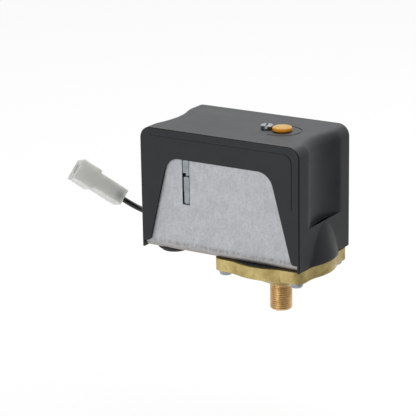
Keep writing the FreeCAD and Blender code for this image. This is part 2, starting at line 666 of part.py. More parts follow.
yoke_holes = [
    rod("pivot_hole", "pivot_radius + seat_gap", "pivot_x", "-yoke_foot", "pivot_z", "yoke_foot * 2", "Y"),
    rod("range_hole", "range_radius + running_gap", "range_x", "adjust_y", yoke_under + " - 1", "steel + 2"),
    rod("differential_hole", "differential_radius + running_gap", "differential_x", "adjust_y",
        yoke_under + " - 1", "steel + 2"),
    nut_slot("range_slot", "range_x", "range_nut_half"),
    nut_slot("differential_slot", "differential_x", "differential_nut_half"),
]
for i, (x, y) in enumerate(yoke_screw_spots):
    yoke_holes.append(rod("yoke_hole%d" % i, "small_hole", x, y, base_top + " - 1", "steel + 2"))
keep("spring_yoke", cut("spring_yoke", yoke_blank, ear_trim, *foot_trims, *yoke_holes))


def small_screws(label, spots, seat):
    keep(label, group(label, [
        screw("%s_%d" % (label, i), x, y, seat, base_bottom + " + running_gap", "small_screw",
              "small_head", "small_head_height") for i, (x, y) in enumerate(spots)]))


small_screws("yoke_screws", yoke_screw_spots, foot_top)
small_screws("earth_screw", [earth_spot], base_top)

# Rocker lever: a steel channel with a solid nose, turning on a pin across the yoke's ears.
channel = prism("lever_channel", "XZ_Plane", [
    ("pivot_x + 4", "lever_bottom"), ("pivot_x + 4", "lever_ear_top"), ("pivot_x - 4", "lever_ear_top"),
    ("-lever_nose + lever_land + 4", "lever_nose_top"), ("-lever_nose", "lever_nose_top"),
    ("-lever_nose", "lever_bottom"),
], "-lever_half_width", "lever_half_width")
rounded(channel, "1.2", lambda middle, way: along("Y")(way) and middle.z > number("lever_nose_top - 0.1")
        and (near(middle.x, "-lever_nose") or middle.z > number("lever_ear_top - 0.1")))
trough = block("lever_trough", "-lever_nose + lever_land", "pivot_x + 6", "-lever_half_width + lever_flange",
               "lever_half_width - lever_flange", lever_seat, "lever_ear_top + 1")
lever_bore = rod("lever_bore", "pivot_radius + running_gap", "pivot_x", "-lever_half_width - 1", "pivot_z",
                 "lever_half_width * 2 + 2", "Y")
keep("rocker_lever", cut("rocker_lever", channel, trough, lever_bore))

pin_end = "(yoke_half + steel + 1)"
pin_shank = rod("pin_shank", "pivot_radius", "pivot_x", "-%s" % pin_end, "pivot_z", "%s * 2" % pin_end, "Y")
pin_head = rod("pin_head", "pivot_radius + 1.2", "pivot_x", "-%s - 1.2" % pin_end, "pivot_z",
               "1.2 + 1 - seat_gap", "Y")
keep("pivot_pin", fuse("pivot_pin", pin_shank, pin_head))
clip_ring = rod("clip_ring", "pivot_radius + 1.3", "pivot_x", leg_out + " + seat_gap", "pivot_z", "0.8", "Y")
clip_bore = rod("clip_bore", "pivot_radius + seat_gap", "pivot_x", leg_out + " - 1", "pivot_z", "3", "Y")
keep("pivot_clip", cut("pivot_clip", clip_ring, clip_bore))
spacer_length = "yoke_half - lever_half_width - running_gap * 2"
spacers = []
for i, start in enumerate(("-yoke_half + running_gap", "lever_half_width + running_gap")):
    tube = rod("spacer_tube%d" % i, "pivot_radius + 1.3", "pivot_x", start, "pivot_z", spacer_length, "Y")
    hole = rod("spacer_hole%d" % i, "pivot_radius + seat_gap", "pivot_x", start + " - 1", "pivot_z",
               spacer_length + " + 2", "Y")
    spacers.append(cut("spacer%d" % i, tube, hole))
keep("pivot_spacers", group("pivot_spacers", spacers))

# Adjusters: the knob's spindle and the slotted screw turn in the yoke and drive two sliding nuts.
knob_low = cover_top + " + knob_gap"
knob_top = cover_top + " + knob_gap + knob_height"
stem_foot = "yoke_top + 4"
keep("range_knob", turned("range_knob", [
    ("range_radius + seat_gap", stem_foot),
    ("knob_stem", stem_foot),
    ("knob_stem", knob_low),
    ("knob_radius - 0.3", knob_low),
    ("knob_radius", knob_low + " + 0.3"),
    ("knob_radius", knob_top + " - 0.5"),
    ("knob_radius - 0.5", knob_top),
    ("knob_radius - 1.1", knob_top),
    ("knob_radius * 0.5", knob_top + " - knob_dish * 0.8"),
    ("0", knob_top + " - knob_dish"),
    ("0", cover_top),
    ("range_radius + seat_gap", cover_top),
], "range_x", "adjust_y"))


def spindle_points(radius, collar, low, high):
    # A plain spindle with a collar on top of the yoke; its thread is not cut.
    return [("0", low), (radius + " - 0.5", low), (radius, low + " + 0.5"),
            (radius, "yoke_top + running_gap"), (collar, "yoke_top + running_gap"), (collar, "yoke_top + 1.8"),
            (radius, "yoke_top + 1.8"), (radius, high), ("0", high)]


spindle_low = "nut_bottom - 14"
keep("range_spindle", turned("range_spindle", spindle_points(
    "range_radius", "range_radius + 1.9", spindle_low, cover_top + " - seat_gap"), "range_x", "adjust_y"))
shaft = turned("differential_shaft", spindle_points(
    "differential_radius", "differential_radius + 1.2", spindle_low, cover_top + " + 1"), "differential_x", "adjust_y")
head = turned("differential_cap", [
    ("0", knob_low), ("differential_head", knob_low), ("differential_head", knob_top + " - 0.4"),
    ("differential_head - 0.4", knob_top), ("0", knob_top)], "differential_x", "adjust_y")
driver = block("adjuster_slot", "differential_x - driver_slot / 2", "differential_x + driver_slot / 2",
               "adjust_y - differential_head - 1", "adjust_y + differential_head + 1",
               knob_top + " - knob_height * 0.7", knob_top + " + 1")
adjuster = cut("differential_screw", fuse("differential_blank", shaft, head), driver)
adjuster.Placement = FreeCAD.Placement(
    FreeCAD.Vector(), FreeCAD.Rotation(FreeCAD.Vector(0, 0, 1), number("driver_turn")),
    FreeCAD.Vector(number("differential_x"), number("adjust_y"), 0))
keep("differential_screw", adjuster)


def washer(label, x, radius):
    ring = rod(label + "_ring", radius + " + 1.7", x, "adjust_y", yoke_under + " - running_gap - 1", "1")
    hole = rod(label + "_bore", radius + " + seat_gap", x, "adjust_y", yoke_under + " - 3", "4")
    keep(label, cut(label, ring, hole))


washer("range_clip", "range_x", "range_radius")
washer("differential_clip", "differential_x", "differential_radius")


def nut_bar(label, x, half, radius, collar):
    bar = block(label + "_bar", "(%s) - (%s)" % (x, half), "(%s) + (%s)" % (x, half),
                "-nut_reach", "nut_reach", "nut_bottom", nut_top)
    boss = rod(label + "_boss", collar, x, "adjust_y", "nut_bottom", "nut_height")
    hole = rod(label + "_bore", radius + " + running_gap", x, "adjust_y", "nut_bottom - 1", "nut_height + 2")
    keep(label, cut(label, fuse(label + "_blank", bar, boss), hole))


nut_bar("range_nut", "range_x", "range_nut_half", "range_radius", "range_nut_half + 0.8")
nut_bar("differential_nut", "differential_x", "differential_nut_half", "differential_radius",
        "differential_nut_half + 0.6")
keep("range_spring", coil("range_spring", "range_coil", "range_wire", "range_turns", "range_x", "adjust_y",
                          lever_seat + " + seat_gap * 5", "nut_bottom - seat_gap * 5"))
keep("differential_spring", coil("differential_spring", "differential_coil", "differential_wire",
                                 "differential_turns", "differential_x", "adjust_y",
                                 lever_seat + " + seat_gap * 5", "nut_bottom - seat_gap * 5"))

# Contact set: a moulded block with six fixed contacts and a carrier that lifts three bridges.
poles = ["(%s - pole_pitch)" % lug_y, "(%s)" % lug_y, "(%s + pole_pitch)" % lug_y]
moulding = block("block_body", "-block_left", "-block_right", "block_front", "block_back", base_top, block_top)
lugs = block("block_lugs", "-block_left - lug_reach", "-block_right + lug_reach", lug_y + " - 4.5", lug_y + " + 4.5",
             base_top, base_top + " + 3")
ribs = []
for i in range(3):
    y = poles[i] + " - pole_pitch / 2"
    ribs.append(block("block_rib%d" % i, "-block_left", "-block_right", y + " - 0.6", y + " + 0.6",
                      block_top, block_top + " + 7"))
groove = block("block_groove", "-carrier_x - carrier_half - carrier_play", "-carrier_x + carrier_half + carrier_play",
               "block_front - 1", "block_back + 1", "carrier_bottom - 2", block_top + " + 8")
block_cuts = [groove]
for i, y in enumerate(poles):
    for j, sign in enumerate("-+"):
        block_cuts.append(rod("terminal_hole%d%d" % (i, j), "small_screw + seat_gap",
                              "-carrier_x %s terminal_reach" % sign, y,
                              block_top + " - terminal_depth - rest_gap", "terminal_depth + rest_gap + 1"))
for i, (x, y) in enumerate(block_screw_spots):
    block_cuts.append(rod("lug_hole%d" % i, "small_hole", x, y, base_top + " - 1", "5"))
keep("contact_block", cut("contact_block", fuse("block_blank", moulding, lugs, *ribs), *block_cuts))
small_screws("block_screws", block_screw_spots, base_top + " + 3")

fixed = []
terminal_screws = []
bridges = []
contact_springs = []
carrier_windows = []
for i, y in enumerate(poles):
    low, high = "(%s) - strip_half" % y, "(%s) + strip_half" % y
    for j, sign in enumerate("-+"):
        inner = "-carrier_x %s (contact_reach - 3)" % sign
        outer = "-carrier_x %s (terminal_reach + 3)" % sign
        x0, x1 = (outer, inner) if sign == "-" else (inner, outer)
        strip = block("strip%d%d" % (i, j), x0, x1, low, high, block_top, strip_top)
        tip = rod("fixed_tip%d%d" % (i, j), "tip_radius", "-carrier_x %s contact_reach" % sign, y,
                  block_top + " + strip_thickness / 2", "tip_height + strip_thickness / 2")
        spot = "-carrier_x %s terminal_reach" % sign
        hole = rod("strip_hole%d%d" % (i, j), "small_hole", spot, y, block_top + " - 1", "strip_thickness + 2")
        fixed.append(cut("fixed%d%d" % (i, j), fuse("fixed_blank%d%d" % (i, j), strip, tip), hole))
        terminal_screws.append(screw("terminal%d%d" % (i, j), spot, y, strip_top, block_top + " - terminal_depth",
                                     "small_screw", "strip_half", "small_head_height"))
    bar = block("bridge_bar%d" % i, "-carrier_x - contact_reach - 2.2", "-carrier_x + contact_reach + 2.2",
                low, high, bridge_bottom, bridge_top)
    tips = [rod("moving_tip%d%d" % (i, j), "tip_radius", "-carrier_x %s contact_reach" % sign, y, bridge_tip,
                "tip_height + strip_thickness / 2") for j, sign in enumerate("-+")]
    bridges.append(fuse("bridge%d" % i, bar, *tips))
    contact_springs.append(coil("contact_spring%d" % i, "contact_coil", "contact_wire", "contact_turns", "-carrier_x", y,
                                bridge_top + " + seat_gap * 2", "carrier_window - seat_gap * 2"))
    carrier_windows.append(block("carrier_window%d" % i, "-carrier_x - 6", "-carrier_x + 6",
                                 low + " - carrier_play", high + " + carrier_play",
                                 bridge_bottom + " - carrier_play", "carrier_window"))
keep("fixed_contacts", group("fixed_contacts", fixed))
keep("terminal_screws", group("terminal_screws", terminal_screws))
keep("contact_bridges", group("contact_bridges", bridges))
keep("contact_springs", group("contact_springs", contact_springs))

web = block("carrier_web", "-carrier_x - carrier_half", "-carrier_x + carrier_half", "carrier_front",
            "carrier_back", "carrier_bottom", "carrier_top")
arm = block("carrier_beam", "-carrier_x", "-carrier_arm", "carrier_front", "carrier_front + 6.5",
            arm_bottom, arm_bottom + " + 3.5")
keep("contact_carrier", cut("contact_carrier", fuse("carrier_blank", web, arm), *carrier_windows))

# Position flag: a bent strip on the carrier whose tongue stands in the front plate's slot.
flag_arm = "carrier_top - flag_sheet"
flag_foot = "slot_bottom + flag_gap"
tongue_face = plate_front + " + flag_gap"
tongue_back = tongue_face + " + flag_sheet"
strip_profile = prism("flag_strip", "YZ_Plane", [
    ("carrier_front", "carrier_top - 8"), ("carrier_front", "carrier_top"),
    (tongue_back + " + flag_joggle", "carrier_top"), (tongue_back + " + flag_joggle", "flag_shoulder"),
    (tongue_back, "flag_shoulder + flag_joggle"), (tongue_back, "flag_tip"),
    (tongue_face, "flag_tip"), (tongue_face, "flag_shoulder"),
    (tongue_face + " + flag_joggle", "flag_shoulder"), (tongue_face + " + flag_joggle", flag_foot),
    (tongue_back + " + flag_joggle", flag_foot), (tongue_back + " + flag_joggle", flag_arm),
    ("carrier_front - flag_sheet", flag_arm), ("carrier_front - flag_sheet", "carrier_top - 8"),
], "-slot_x - slot_width / 2 + flag_edge", "-slot_x + slot_width / 2 - flag_gap")
rounded(strip_profile, "flag_edge", lambda middle, way: along("Y")(way) and near(middle.z, "flag_tip"))
rounded(strip_profile, "slot_corner - flag_gap", lambda middle, way: along("Y")(way) and near(middle.z, flag_foot))
keep("position_flag", strip_profile)

guide_back = guide_face + " + flag_sheet"
guide_end = guide_face + " + guide_foot"
guide_profile = prism("guide_profile", "YZ_Plane", [
    (guide_face, base_top), (guide_end, base_top), (guide_end, base_top + " + flag_sheet"),
    (guide_back, base_top + " + flag_sheet"), (guide_back, "guide_top"), (guide_face, "guide_top"),
], "-carrier_x - guide_half", "-carrier_x + guide_half")
rounded(guide_profile, "bend + flag_sheet", lambda middle, way: along("X")(way)
        and near(middle.y, guide_face) and near(middle.z, base_top))
guide_slot = block("guide_slot", "-slot_x - slot_width / 2 - carrier_play", "-slot_x + slot_width / 2 + carrier_play",
                   guide_face + " - 1", guide_back + " + 1", flag_arm + " - carrier_play",
                   "carrier_top + carrier_travel + carrier_play")
pad_left, pad_right = "-slot_x - slot_width / 2 + flag_gap", "-slot_x + slot_width / 2 - flag_gap"
pad_low, pad_high = "flag_tip + carrier_travel + flag_gap", "slot_top - flag_gap"
guide_pad = prism("guide_pad", "XZ_Plane", [
    (pad_left, pad_low), (pad_right, pad_low), (pad_right, pad_high), (pad_left, pad_high),
], tongue_face, guide_back)
rounded(guide_pad, "slot_corner - flag_gap", lambda middle, way: along("Y")(way) and near(middle.z, pad_high))
guide_holes = [rod("guide_hole%d" % i, "small_hole", x, y, base_top + " - 1", "flag_sheet + 2")
               for i, (x, y) in enumerate(guide_screw_spots)]
keep("guide_bracket", cut("guide_bracket", fuse("guide_blank", guide_profile, guide_pad), guide_slot, *guide_holes))
small_screws("guide_screws", guide_screw_spots, base_top + " + flag_sheet")

# Cable grommet in the base, and the lead's bush in the cover's left wall.
keep("cable_grommet", turned("cable_grommet", [
    ("grommet_bore", base_bottom + " - grommet_drop"),
    ("grommet_lip - 2.2", base_bottom + " - grommet_drop"),
    ("grommet_lip - 1.4", base_bottom + " - grommet_drop * 0.55"),
    ("grommet_lip - 0.5", base_bottom + " - grommet_drop * 0.55"),
    ("grommet_lip", base_bottom + " - grommet_drop * 0.4"),
    ("grommet_lip", base_bottom),
    ("grommet_neck", base_bottom),
    ("grommet_neck", base_top),
    ("grommet_neck + 0.7", base_top),
    ("grommet_neck + 0.2", base_top + " + 2.4"),
    ("grommet_bore", base_top + " + 2.4"),
], "-grommet_x", "-grommet_y"))

wall_out = "-cover_left"
wall_in = "-cover_left + cover_wall"
bush = turned("lead_bush", [
    ("0", "-bush_outside"),
    ("lead_radius + 1.2", "-bush_outside"),
    ("bush_lip", "-0.8"),
    ("bush_lip", "-seat_gap"),
    ("bush_neck", "-seat_gap"),
    ("bush_neck", "cover_wall + seat_gap"),
    ("bush_lip - 0.4", "cover_wall + seat_gap"),
    ("bush_lip - 0.8", "cover_wall + 1.6"),
    ("core_radius + seat_gap", "cover_wall + 1.6"),
    ("core_radius + seat_gap", "0"),
    ("0", "0"),
])
bush.Placement = FreeCAD.Placement(FreeCAD.Vector(), turns["X"])
place(bush, wall_out, "bush_y", "bush_z")
keep("lead_bush", bush)


def cord(name, points, radius):
    # A round tube on straight runs joined by tangent arcs, each as large as its two runs allow.
    spots = [FreeCAD.Vector(*p) for p in points]
    edges = []
    here = spots[0]
    for before, corner, after in zip(spots, spots[1:], spots[2:]):
        back = before.sub(corner)
        ahead = after.sub(corner)
        half_turn = (math.pi - back.getAngle(ahead)) / 2
        reach = 0.45 * min(back.Length, ahead.Length)
        bend_radius = reach / math.tan(half_turn)
        start = corner.add(back.normalize().multiply(reach))
        end = corner.add(ahead.normalize().multiply(reach))
        inward = start.add(end).multiply(0.5).sub(corner).normalize()
        middle = corner.add(inward.multiply(math.hypot(reach, bend_radius) - bend_radius))
        edges.append(Part.LineSegment(here, start).toShape())
        edges.append(Part.Arc(start, middle, end).toShape())
        here = end
        print("%s bend radius %.1f" % (name, bend_radius))
    edges.append(Part.LineSegment(here, spots[-1]).toShape())
    path = Part.Wire(edges)
    ring = Part.Wire([Part.makeCircle(number(radius), spots[0], spots[1].sub(spots[0]))])
    obj = doc.addObject("Part::Feature", name)
    obj.Shape = path.makePipeShell([ring], True, True)
    ideal = math.pi * number(radius) ** 2 * path.Length
    print("%s length %.1f, volume against section times length %.4f" % (name, path.Length, obj.Shape.Volume / ideal))
    return obj


# The route of the lead from its bush to the connector, chosen by hand.
lead_route = [
    (-78.4, 3.7, 26.1),
    (-86.9, 3.7, 26.1),
    (-95.0, 1.9, 28.1),
    (-101.9, -1.4, 31.8),
    (-106.9, -6.0, 36.9),
]
keep("lead", cord("lead", lead_route, "lead_radius"))
core_route = [
    (-76.0, 3.7, 26.1),
    (-69.1, 3.7, 26.1),
    (-69.1, 4.2, 37.2),
    (-64.3, 4.5, 37.2),
]
keep("lead_core", cord("lead_core", core_route, "core_radius"))

# Connector: a nylon housing with a wide mating half, a D-shaped cavity and a metal pin in it.
plug_turn = FreeCAD.Rotation(number("plug_yaw"), number("plug_pitch"), number("plug_roll"))
plug_seat = plug_turn.multVec(FreeCAD.Vector(number("seat_gap"), 0, 0))
plug_place = FreeCAD.Placement(FreeCAD.Vector(*lead_route[-1]).add(plug_seat), plug_turn)
housing = prism("plug_body", "XZ_Plane", [
    ("0", "-plug_waist / 2"), ("plug_length - plug_head", "-plug_waist / 2"),
    ("plug_length - plug_head", "-plug_height / 2"), ("plug_length", "-plug_height / 2"),
    ("plug_length", "plug_height / 2"), ("plug_length - plug_head", "plug_height / 2"),
    ("plug_length - plug_head", "plug_waist / 2"), ("0", "plug_waist / 2"),
], "-plug_depth / 2", "plug_depth / 2")
rounded(housing, "plug_edge", lambda middle, way: along("X")(way) or (
    along("Y")(way) and abs(middle.z) > number("plug_height / 2 - 0.1")))
mouth = rod("plug_mouth", "plug_cavity / 2", "plug_length - plug_cavity_depth", "0", "0",
            "plug_cavity_depth + 1", "X")
socket = common("plug_socket", mouth, block("plug_socket_limit", "0", "plug_length + 2", "-plug_cavity",
                                            "plug_cavity * 0.3", "-plug_cavity", "plug_cavity"))
pin_hole = rod("plug_pin_hole", "1.02", "plug_length - plug_cavity_depth - 8", "0", "0", "9", "X")
plug = cut("connector_housing", housing, socket, pin_hole)
plug.Placement = plug_place
keep("connector_housing", plug)
pin = rod("connector_pin", "1", "0", "0", "0", "plug_cavity_depth + 4", "X")
offset = FreeCAD.Vector(number("plug_length - plug_cavity_depth - 7.5"), 0, 0)
pin.setExpression("Placement.Base.x", None)
pin.setExpression("Placement.Base.y", None)
pin.setExpression("Placement.Base.z", None)
pin.Placement = plug_place.multiply(FreeCAD.Placement(offset, turns["X"]))
keep("connector_pin", pin)

# Cover: a moulded shell, open below, with two thumb recesses and a window for the front plate.
grip_curve = "((grip_half_width ^ 2 + grip_depth ^ 2) / (2 * grip_depth))"
grip_middles = {"left": "-cover_left + grip_depth - " + grip_curve, "right": "cover_right - grip_depth + " + grip_curve}


def cover_form(name, inset, front, drop):
    # The outer shape, or the hollow inside it when the walls are taken off.
    left, right = "-cover_left + %s" % inset, "cover_right - %s" % inset
    low, high = "cover_bottom - %s" % drop, cover_top + " - %s" % inset
    form = prism(name + "_box", "XZ_Plane", [(left, low), (right, low), (right, high), (left, high)],
                 "-%s + %s" % (half_depth, front), "%s - %s" % (half_depth, inset))
    scoops = form.newObject("PartDesign::Pocket", name + "_scoops")
    scoops.Profile = circles(form, name + "_scoop_rings", [
        (middle, "0", grip_curve + " + %s" % inset) for middle in grip_middles.values()], cover_top)
    scoops.setExpression("Length", bound("%s - grip_foot + %s" % (cover_top, inset)))
    form.Tip = scoops
    rounded(form, "grip_blend - %s" % inset, lambda middle, way: along("Z")(way)
            and abs(middle.y) < number("grip_half_width + grip_depth"))
    rounded(form, "cover_corner - %s" % inset, lambda middle, way: near(middle.z, high) and not along("X")(way))
    if inset == "0":
        rounded(form, "cover_edge", lambda middle, way: near(abs(middle.y), half_depth)
                and middle.z > number("cover_bottom + cover_edge"))
    bulge = doc.addObject("Part::Cone", name + "_bulge")
    bulge.setExpression("Radius1", bound("bulge_radius - %s" % inset))
    bulge.setExpression("Radius2", bound("cover_right - %s" % inset))
    bulge.setExpression("Height", bound("bulge_top - cover_bottom"))
    place(bulge, "0", "0", "cover_bottom")
    side = block(name + "_bulge_side", "cover_right - cover_wall - 6", "bulge_radius + 1",
                 "-%s + cover_wall" % half_depth, "%s - cover_wall" % half_depth, "cover_bottom - 1", "bulge_top + 1")
    return fuse(name + "_form", form, common(name + "_bulged", bulge, side))


shell = cut("cover_shell", cover_form("cover", "0", "0", "0"), cover_form("hollow", "cover_wall", "front_wall", "2"))

window = prism("cover_window", "XZ_Plane", [
    ("-window_top_left", "window_top"), ("window_top_right", "window_top"), ("window_foot_right", "window_foot"),
    ("cover_right - cover_wall", "window_foot"), ("cover_right - cover_wall", "cover_bottom - 1"),
    ("-cover_left + cover_wall", "cover_bottom - 1"), ("-cover_left + cover_wall", "window_foot"),
    ("-window_foot_left", "window_foot"),
], "-%s - 1" % half_depth, "-%s + front_wall + 1" % half_depth)
rounded(window, "window_corner", lambda middle, way: along("Y")(way) and near(middle.z, "window_top"))
rounded(window, "window_toe", lambda middle, way: along("Y")(way) and near(middle.z, "window_foot")
        and (near(middle.x, "-window_foot_left") or near(middle.x, "window_foot_right")))

line_top, line_right = cover_top + " - panel_top_margin", "cover_right - panel_margin"
line_start = "-cover_left + panel_start"
panel_line = prism("front_line", "XZ_Plane", [
    (line_start, line_top), (line_right, line_top), (line_right, "panel_foot"),
    (line_right + " - panel_line", "panel_foot"), (line_right + " - panel_line", line_top + " - panel_line"),
    (line_start, line_top + " - panel_line"),
], "-%s - 1" % half_depth, "-%s + panel_step" % half_depth)
rounded(panel_line, "panel_corner", lambda middle, way: along("Y")(way) and near(middle.x, line_right)
        and near(middle.z, line_top))
rounded(panel_line, "panel_corner - panel_line", lambda middle, way: along("Y")(way)
        and near(middle.x, line_right + " - panel_line") and near(middle.z, line_top + " - panel_line"))

slits = []
for side, start, end in (("left", "-cover_left + slit_lip", "-cover_left + grip_depth"),
                         ("right", "cover_right - grip_depth", "cover_right - slit_lip")):
    slit_low, slit_high = "grip_foot - cover_wall - rest_gap", "grip_foot + rest_gap"
    sweep = rod(side + "_slit_sweep", grip_curve + " - slit_ledge", grip_middles[side], "0", slit_low,
                "(%s) - (%s)" % (slit_high, slit_low))
    limit = block(side + "_slit_limit", start, end, "-grip_half_width", "grip_half_width", slit_low, slit_high)
    slits.append(common(side + "_slit", sweep, limit))
arc_outer = rod("arc_outer", "arc_radius + arc_width / 2", "range_x", "adjust_y", cover_top + " - arc_depth", "2")
arc_outer.Angle = 200
arc_outer.Placement.Rotation = FreeCAD.Rotation(FreeCAD.Vector(0, 0, 1), -110)
arc_inner = rod("arc_inner", "arc_radius - arc_width / 2", "range_x", "adjust_y", cover_top + " - 1", "4")
setting_arc = cut("setting_arc", arc_outer, arc_inner)
notch = fuse("bush_notch", rod("notch_round", "bush_neck + seat_gap", wall_out + " - 1", "bush_y", "bush_z",
                               "cover_wall + 2", "X"),
             block("notch_slot", wall_out + " - 1", wall_in + " + 1", "bush_y - bush_neck - seat_gap",
                   "bush_y + bush_neck + seat_gap", "cover_bottom - 1", "bush_z"))
knob_hole = rod("knob_hole", "knob_stem + rest_gap", "range_x", "adjust_y", cover_top + " - 5", "8")
screw_hole = rod("screw_hole", "differential_radius + rest_gap", "differential_x", "adjust_y", cover_top + " - 5", "8")
bulge_slope = "(bulge_radius - cover_right) / (bulge_top - cover_bottom)"
nib_root = "bulge_radius - cover_wall / 2 - %s * (nib_bottom + nib_height / 2 - cover_bottom)" % bulge_slope
nibs = [
    block("left_nib", "-cover_left + cover_wall / 2", base_left + " + nib_reach", "left_tab_y - nib_half_width",
          "left_tab_y + nib_half_width", "nib_bottom", "nib_bottom + nib_height"),
    block("right_nib", base_right + " - nib_reach", nib_root, "-nib_half_width",
          "nib_half_width", "nib_bottom", "nib_bottom + nib_height"),
]
rubber_relief = rod("rubber_relief", "diaphragm_round + front_gap", "0", "0", "cover_bottom - 1",
                    base_bottom + " + rest_gap - cover_bottom + 1")
keep("cover", cut("cover", fuse("cover_blank", shell, *nibs), window, panel_line, *slits, setting_arc, notch,
                  knob_hole, screw_hole, rubber_relief))

# Every object has to be sound, and every piece a closed valid shape, before anything is written.
doc.recompute()
broken = [obj.Label for obj in doc.Objects if "Invalid" in obj.State or "Error" in obj.State]
unsound = [label for label, obj in nodes.items() if obj.Shape.isNull() or not obj.Shape.isValid()]
hollow = [label for label, obj in nodes.items() if not obj.Shape.Solids]
if broken or unsound or hollow:
    raise RuntimeError("failed objects %s, unsound pieces %s, no solid %s" % (broken, unsound, hollow))

os.makedirs("parts", exist_ok=True)
for label, obj in nodes.items():
    obj.Shape.exportStep("parts/%s.step" % label)
    print("%-20s %2d solids %10.1f mm3" % (label, len(obj.Shape.Solids), obj.Shape.Volume))
print("%d pieces" % len(nodes))
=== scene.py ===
import bpy
import bmesh
import json
import math
from mathutils import Matrix, Vector


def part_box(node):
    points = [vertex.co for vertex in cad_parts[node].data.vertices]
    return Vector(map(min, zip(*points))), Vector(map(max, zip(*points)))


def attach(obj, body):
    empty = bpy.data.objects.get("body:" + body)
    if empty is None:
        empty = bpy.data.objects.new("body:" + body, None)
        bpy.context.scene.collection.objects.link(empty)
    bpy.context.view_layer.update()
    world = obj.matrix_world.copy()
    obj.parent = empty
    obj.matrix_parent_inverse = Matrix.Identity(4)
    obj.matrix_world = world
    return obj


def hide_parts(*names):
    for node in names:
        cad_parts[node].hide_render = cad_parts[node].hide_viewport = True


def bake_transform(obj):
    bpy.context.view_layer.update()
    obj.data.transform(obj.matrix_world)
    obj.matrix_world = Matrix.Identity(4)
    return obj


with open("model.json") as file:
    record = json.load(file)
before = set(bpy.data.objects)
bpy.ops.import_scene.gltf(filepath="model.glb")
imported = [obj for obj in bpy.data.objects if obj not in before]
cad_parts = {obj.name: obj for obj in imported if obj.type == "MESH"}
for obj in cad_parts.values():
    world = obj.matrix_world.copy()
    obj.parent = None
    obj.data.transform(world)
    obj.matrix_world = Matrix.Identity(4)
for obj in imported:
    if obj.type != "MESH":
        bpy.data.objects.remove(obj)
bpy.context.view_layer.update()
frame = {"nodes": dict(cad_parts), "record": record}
nodes = frame["nodes"]
scene = bpy.context.scene
mm = 0.001
pureWhite = (1.0, 1.0, 1.0, 1.0)
print("frame loaded:", len(nodes), "nodes")

# camera where the photograph was taken from, in the part's own frame
cameraSettings = {
    "place": (0.52604, -0.92305, 0.37503),
    "right": (0.8512, 0.5246, -0.0159),
    "up": (-0.1427, 0.2604, 0.9549),
    "back": (0.5051, -0.8105, 0.2965),
    "lens": 167.6,
    "sensor": 36.0,
    "nearest": 0.01,
    "farthest": 20.0,
}


def makeCamera(settings):
    data = bpy.data.cameras.new("photoCamera")
    data.lens = settings["lens"]
    data.sensor_width = settings["sensor"]
    data.clip_start = settings["nearest"]
    data.clip_end = settings["farthest"]
    camera = bpy.data.objects.new("photoCamera", data)
    scene.collection.objects.link(camera)
    axes = Matrix((settings["right"], settings["up"], settings["back"])).transposed()
    camera.matrix_world = Matrix.Translation(Vector(settings["place"])) @ axes.to_4x4()
    scene.camera = camera


makeCamera(cameraSettings)
print("camera set")

# numbers of the Mix node's sockets, since it has a set with the same names for every kind of value
mixShare = 0
floatUnder, floatOver, floatMixed = 2, 3, 0
vectorUnder, vectorOver, vectorMixed = 4, 5, 1
colourUnder, colourOver, colourMixed = 6, 7, 2


def toLinear(hexText):
    # sRGB hex to the linear colour that the shader sockets take
    channels = [int(hexText[i:i + 2], 16) / 255 for i in (1, 3, 5)]
    linear = [c / 12.92 if c <= 0.04045 else ((c + 0.055) / 1.055) ** 2.4 for c in channels]
    return (*linear, 1.0)


def addNode(tree, kind, settings=None, links=None):
    # one node with its settings, by attribute or by socket, and its incoming links
    node = tree.nodes.new(kind)
    for key, value in (settings or {}).items():
        if isinstance(key, str) and hasattr(node, key):
            setattr(node, key, value)
        else:
            node.inputs[key].default_value = value
    for key, source in (links or {}).items():
        tree.links.new(source, node.inputs[key])
    return node


def startMaterial(name, sockets):
    material = bpy.data.materials.new(name)
    material.use_nodes = True
    tree = material.node_tree
    shader = tree.nodes["Principled BSDF"]
    for key, value in sockets.items():
        shader.inputs[key].default_value = value
    place = addNode(tree, "ShaderNodeTexCoord").outputs["Object"]
    return material, tree, shader, place


def perMetre(sizeInMm):
    # noise scale whose blobs are about this wide
    return 1.0 / (sizeInMm * mm)


# ABS, injection moulded in a spark-eroded tool: an even dull black,
# with a fine grain that greys in raking light
coverAbs = {
    "sockets": {"IOR": 1.5, "Specular IOR Level": 0.34},
    "colour": "#1C1E21",
    "dusty": "#27292C",
    "cloud": {"Scale": perMetre(26.0), "Detail": 4.0, "Roughness": 0.6},
    "dustLevel": {"From Min": 0.35, "From Max": 0.7},
    "roughness": {"From Min": 0.3, "From Max": 0.7, "To Min": 0.44, "To Max": 0.56},
    # the front's rounded rim is polished, and its colour is painted darker: painted shade for the unlit side
    # of the studio mirrored in it
    "edge": "#0B0C0D",
    "edgeRoughness": 0.22,
    "edgeMm": (0.8, 0.48),  # behind the front face, where the rim's polish and painted shade end and where they are full
    "frontWay": (0.0, -1.0, 0.0),
    "rimTurned": {"From Min": 0.985, "From Max": 0.93},  # by how squarely a spot faces the front
    "rimSloped": {"From Min": 0.05, "From Max": 0.25},
    # the line round the front panel is painted lighter: painted light that fills in the shade deep in it
    "line": "#3A3D42",
    "lineMm": (0.2, 0.35),  # behind the front face, where the painted light starts and where it is full
    # where the end walls' hollows and bulge are blended in: how far from a middle, along an axis in mm,
    # the blending is nil and is full
    "bevel": {"samples": 8, "Radius": 3.0 * mm},
    "blendMm": [
        {"axis": "X", "middle": -23.65, "none": 45.7, "full": 47.7},  # at the two end walls
        {"axis": "Z", "middle": 0.0, "none": 54.0, "full": 51.0},  # in their lower part
        {"axis": "Y", "middle": 0.0, "none": 23.0, "full": 21.0},  # away from their upright edges
        {"axis": "Z", "middle": 40.9, "none": 1.4, "full": 3.0},  # but not at the release slit
    ],
    "grain": {"Scale": perMetre(0.7), "Detail": 2.0},  # the real 0.2 mm would be too fine to show here
    "grainBump": {"Strength": 0.10, "Distance": 0.2 * mm},
}


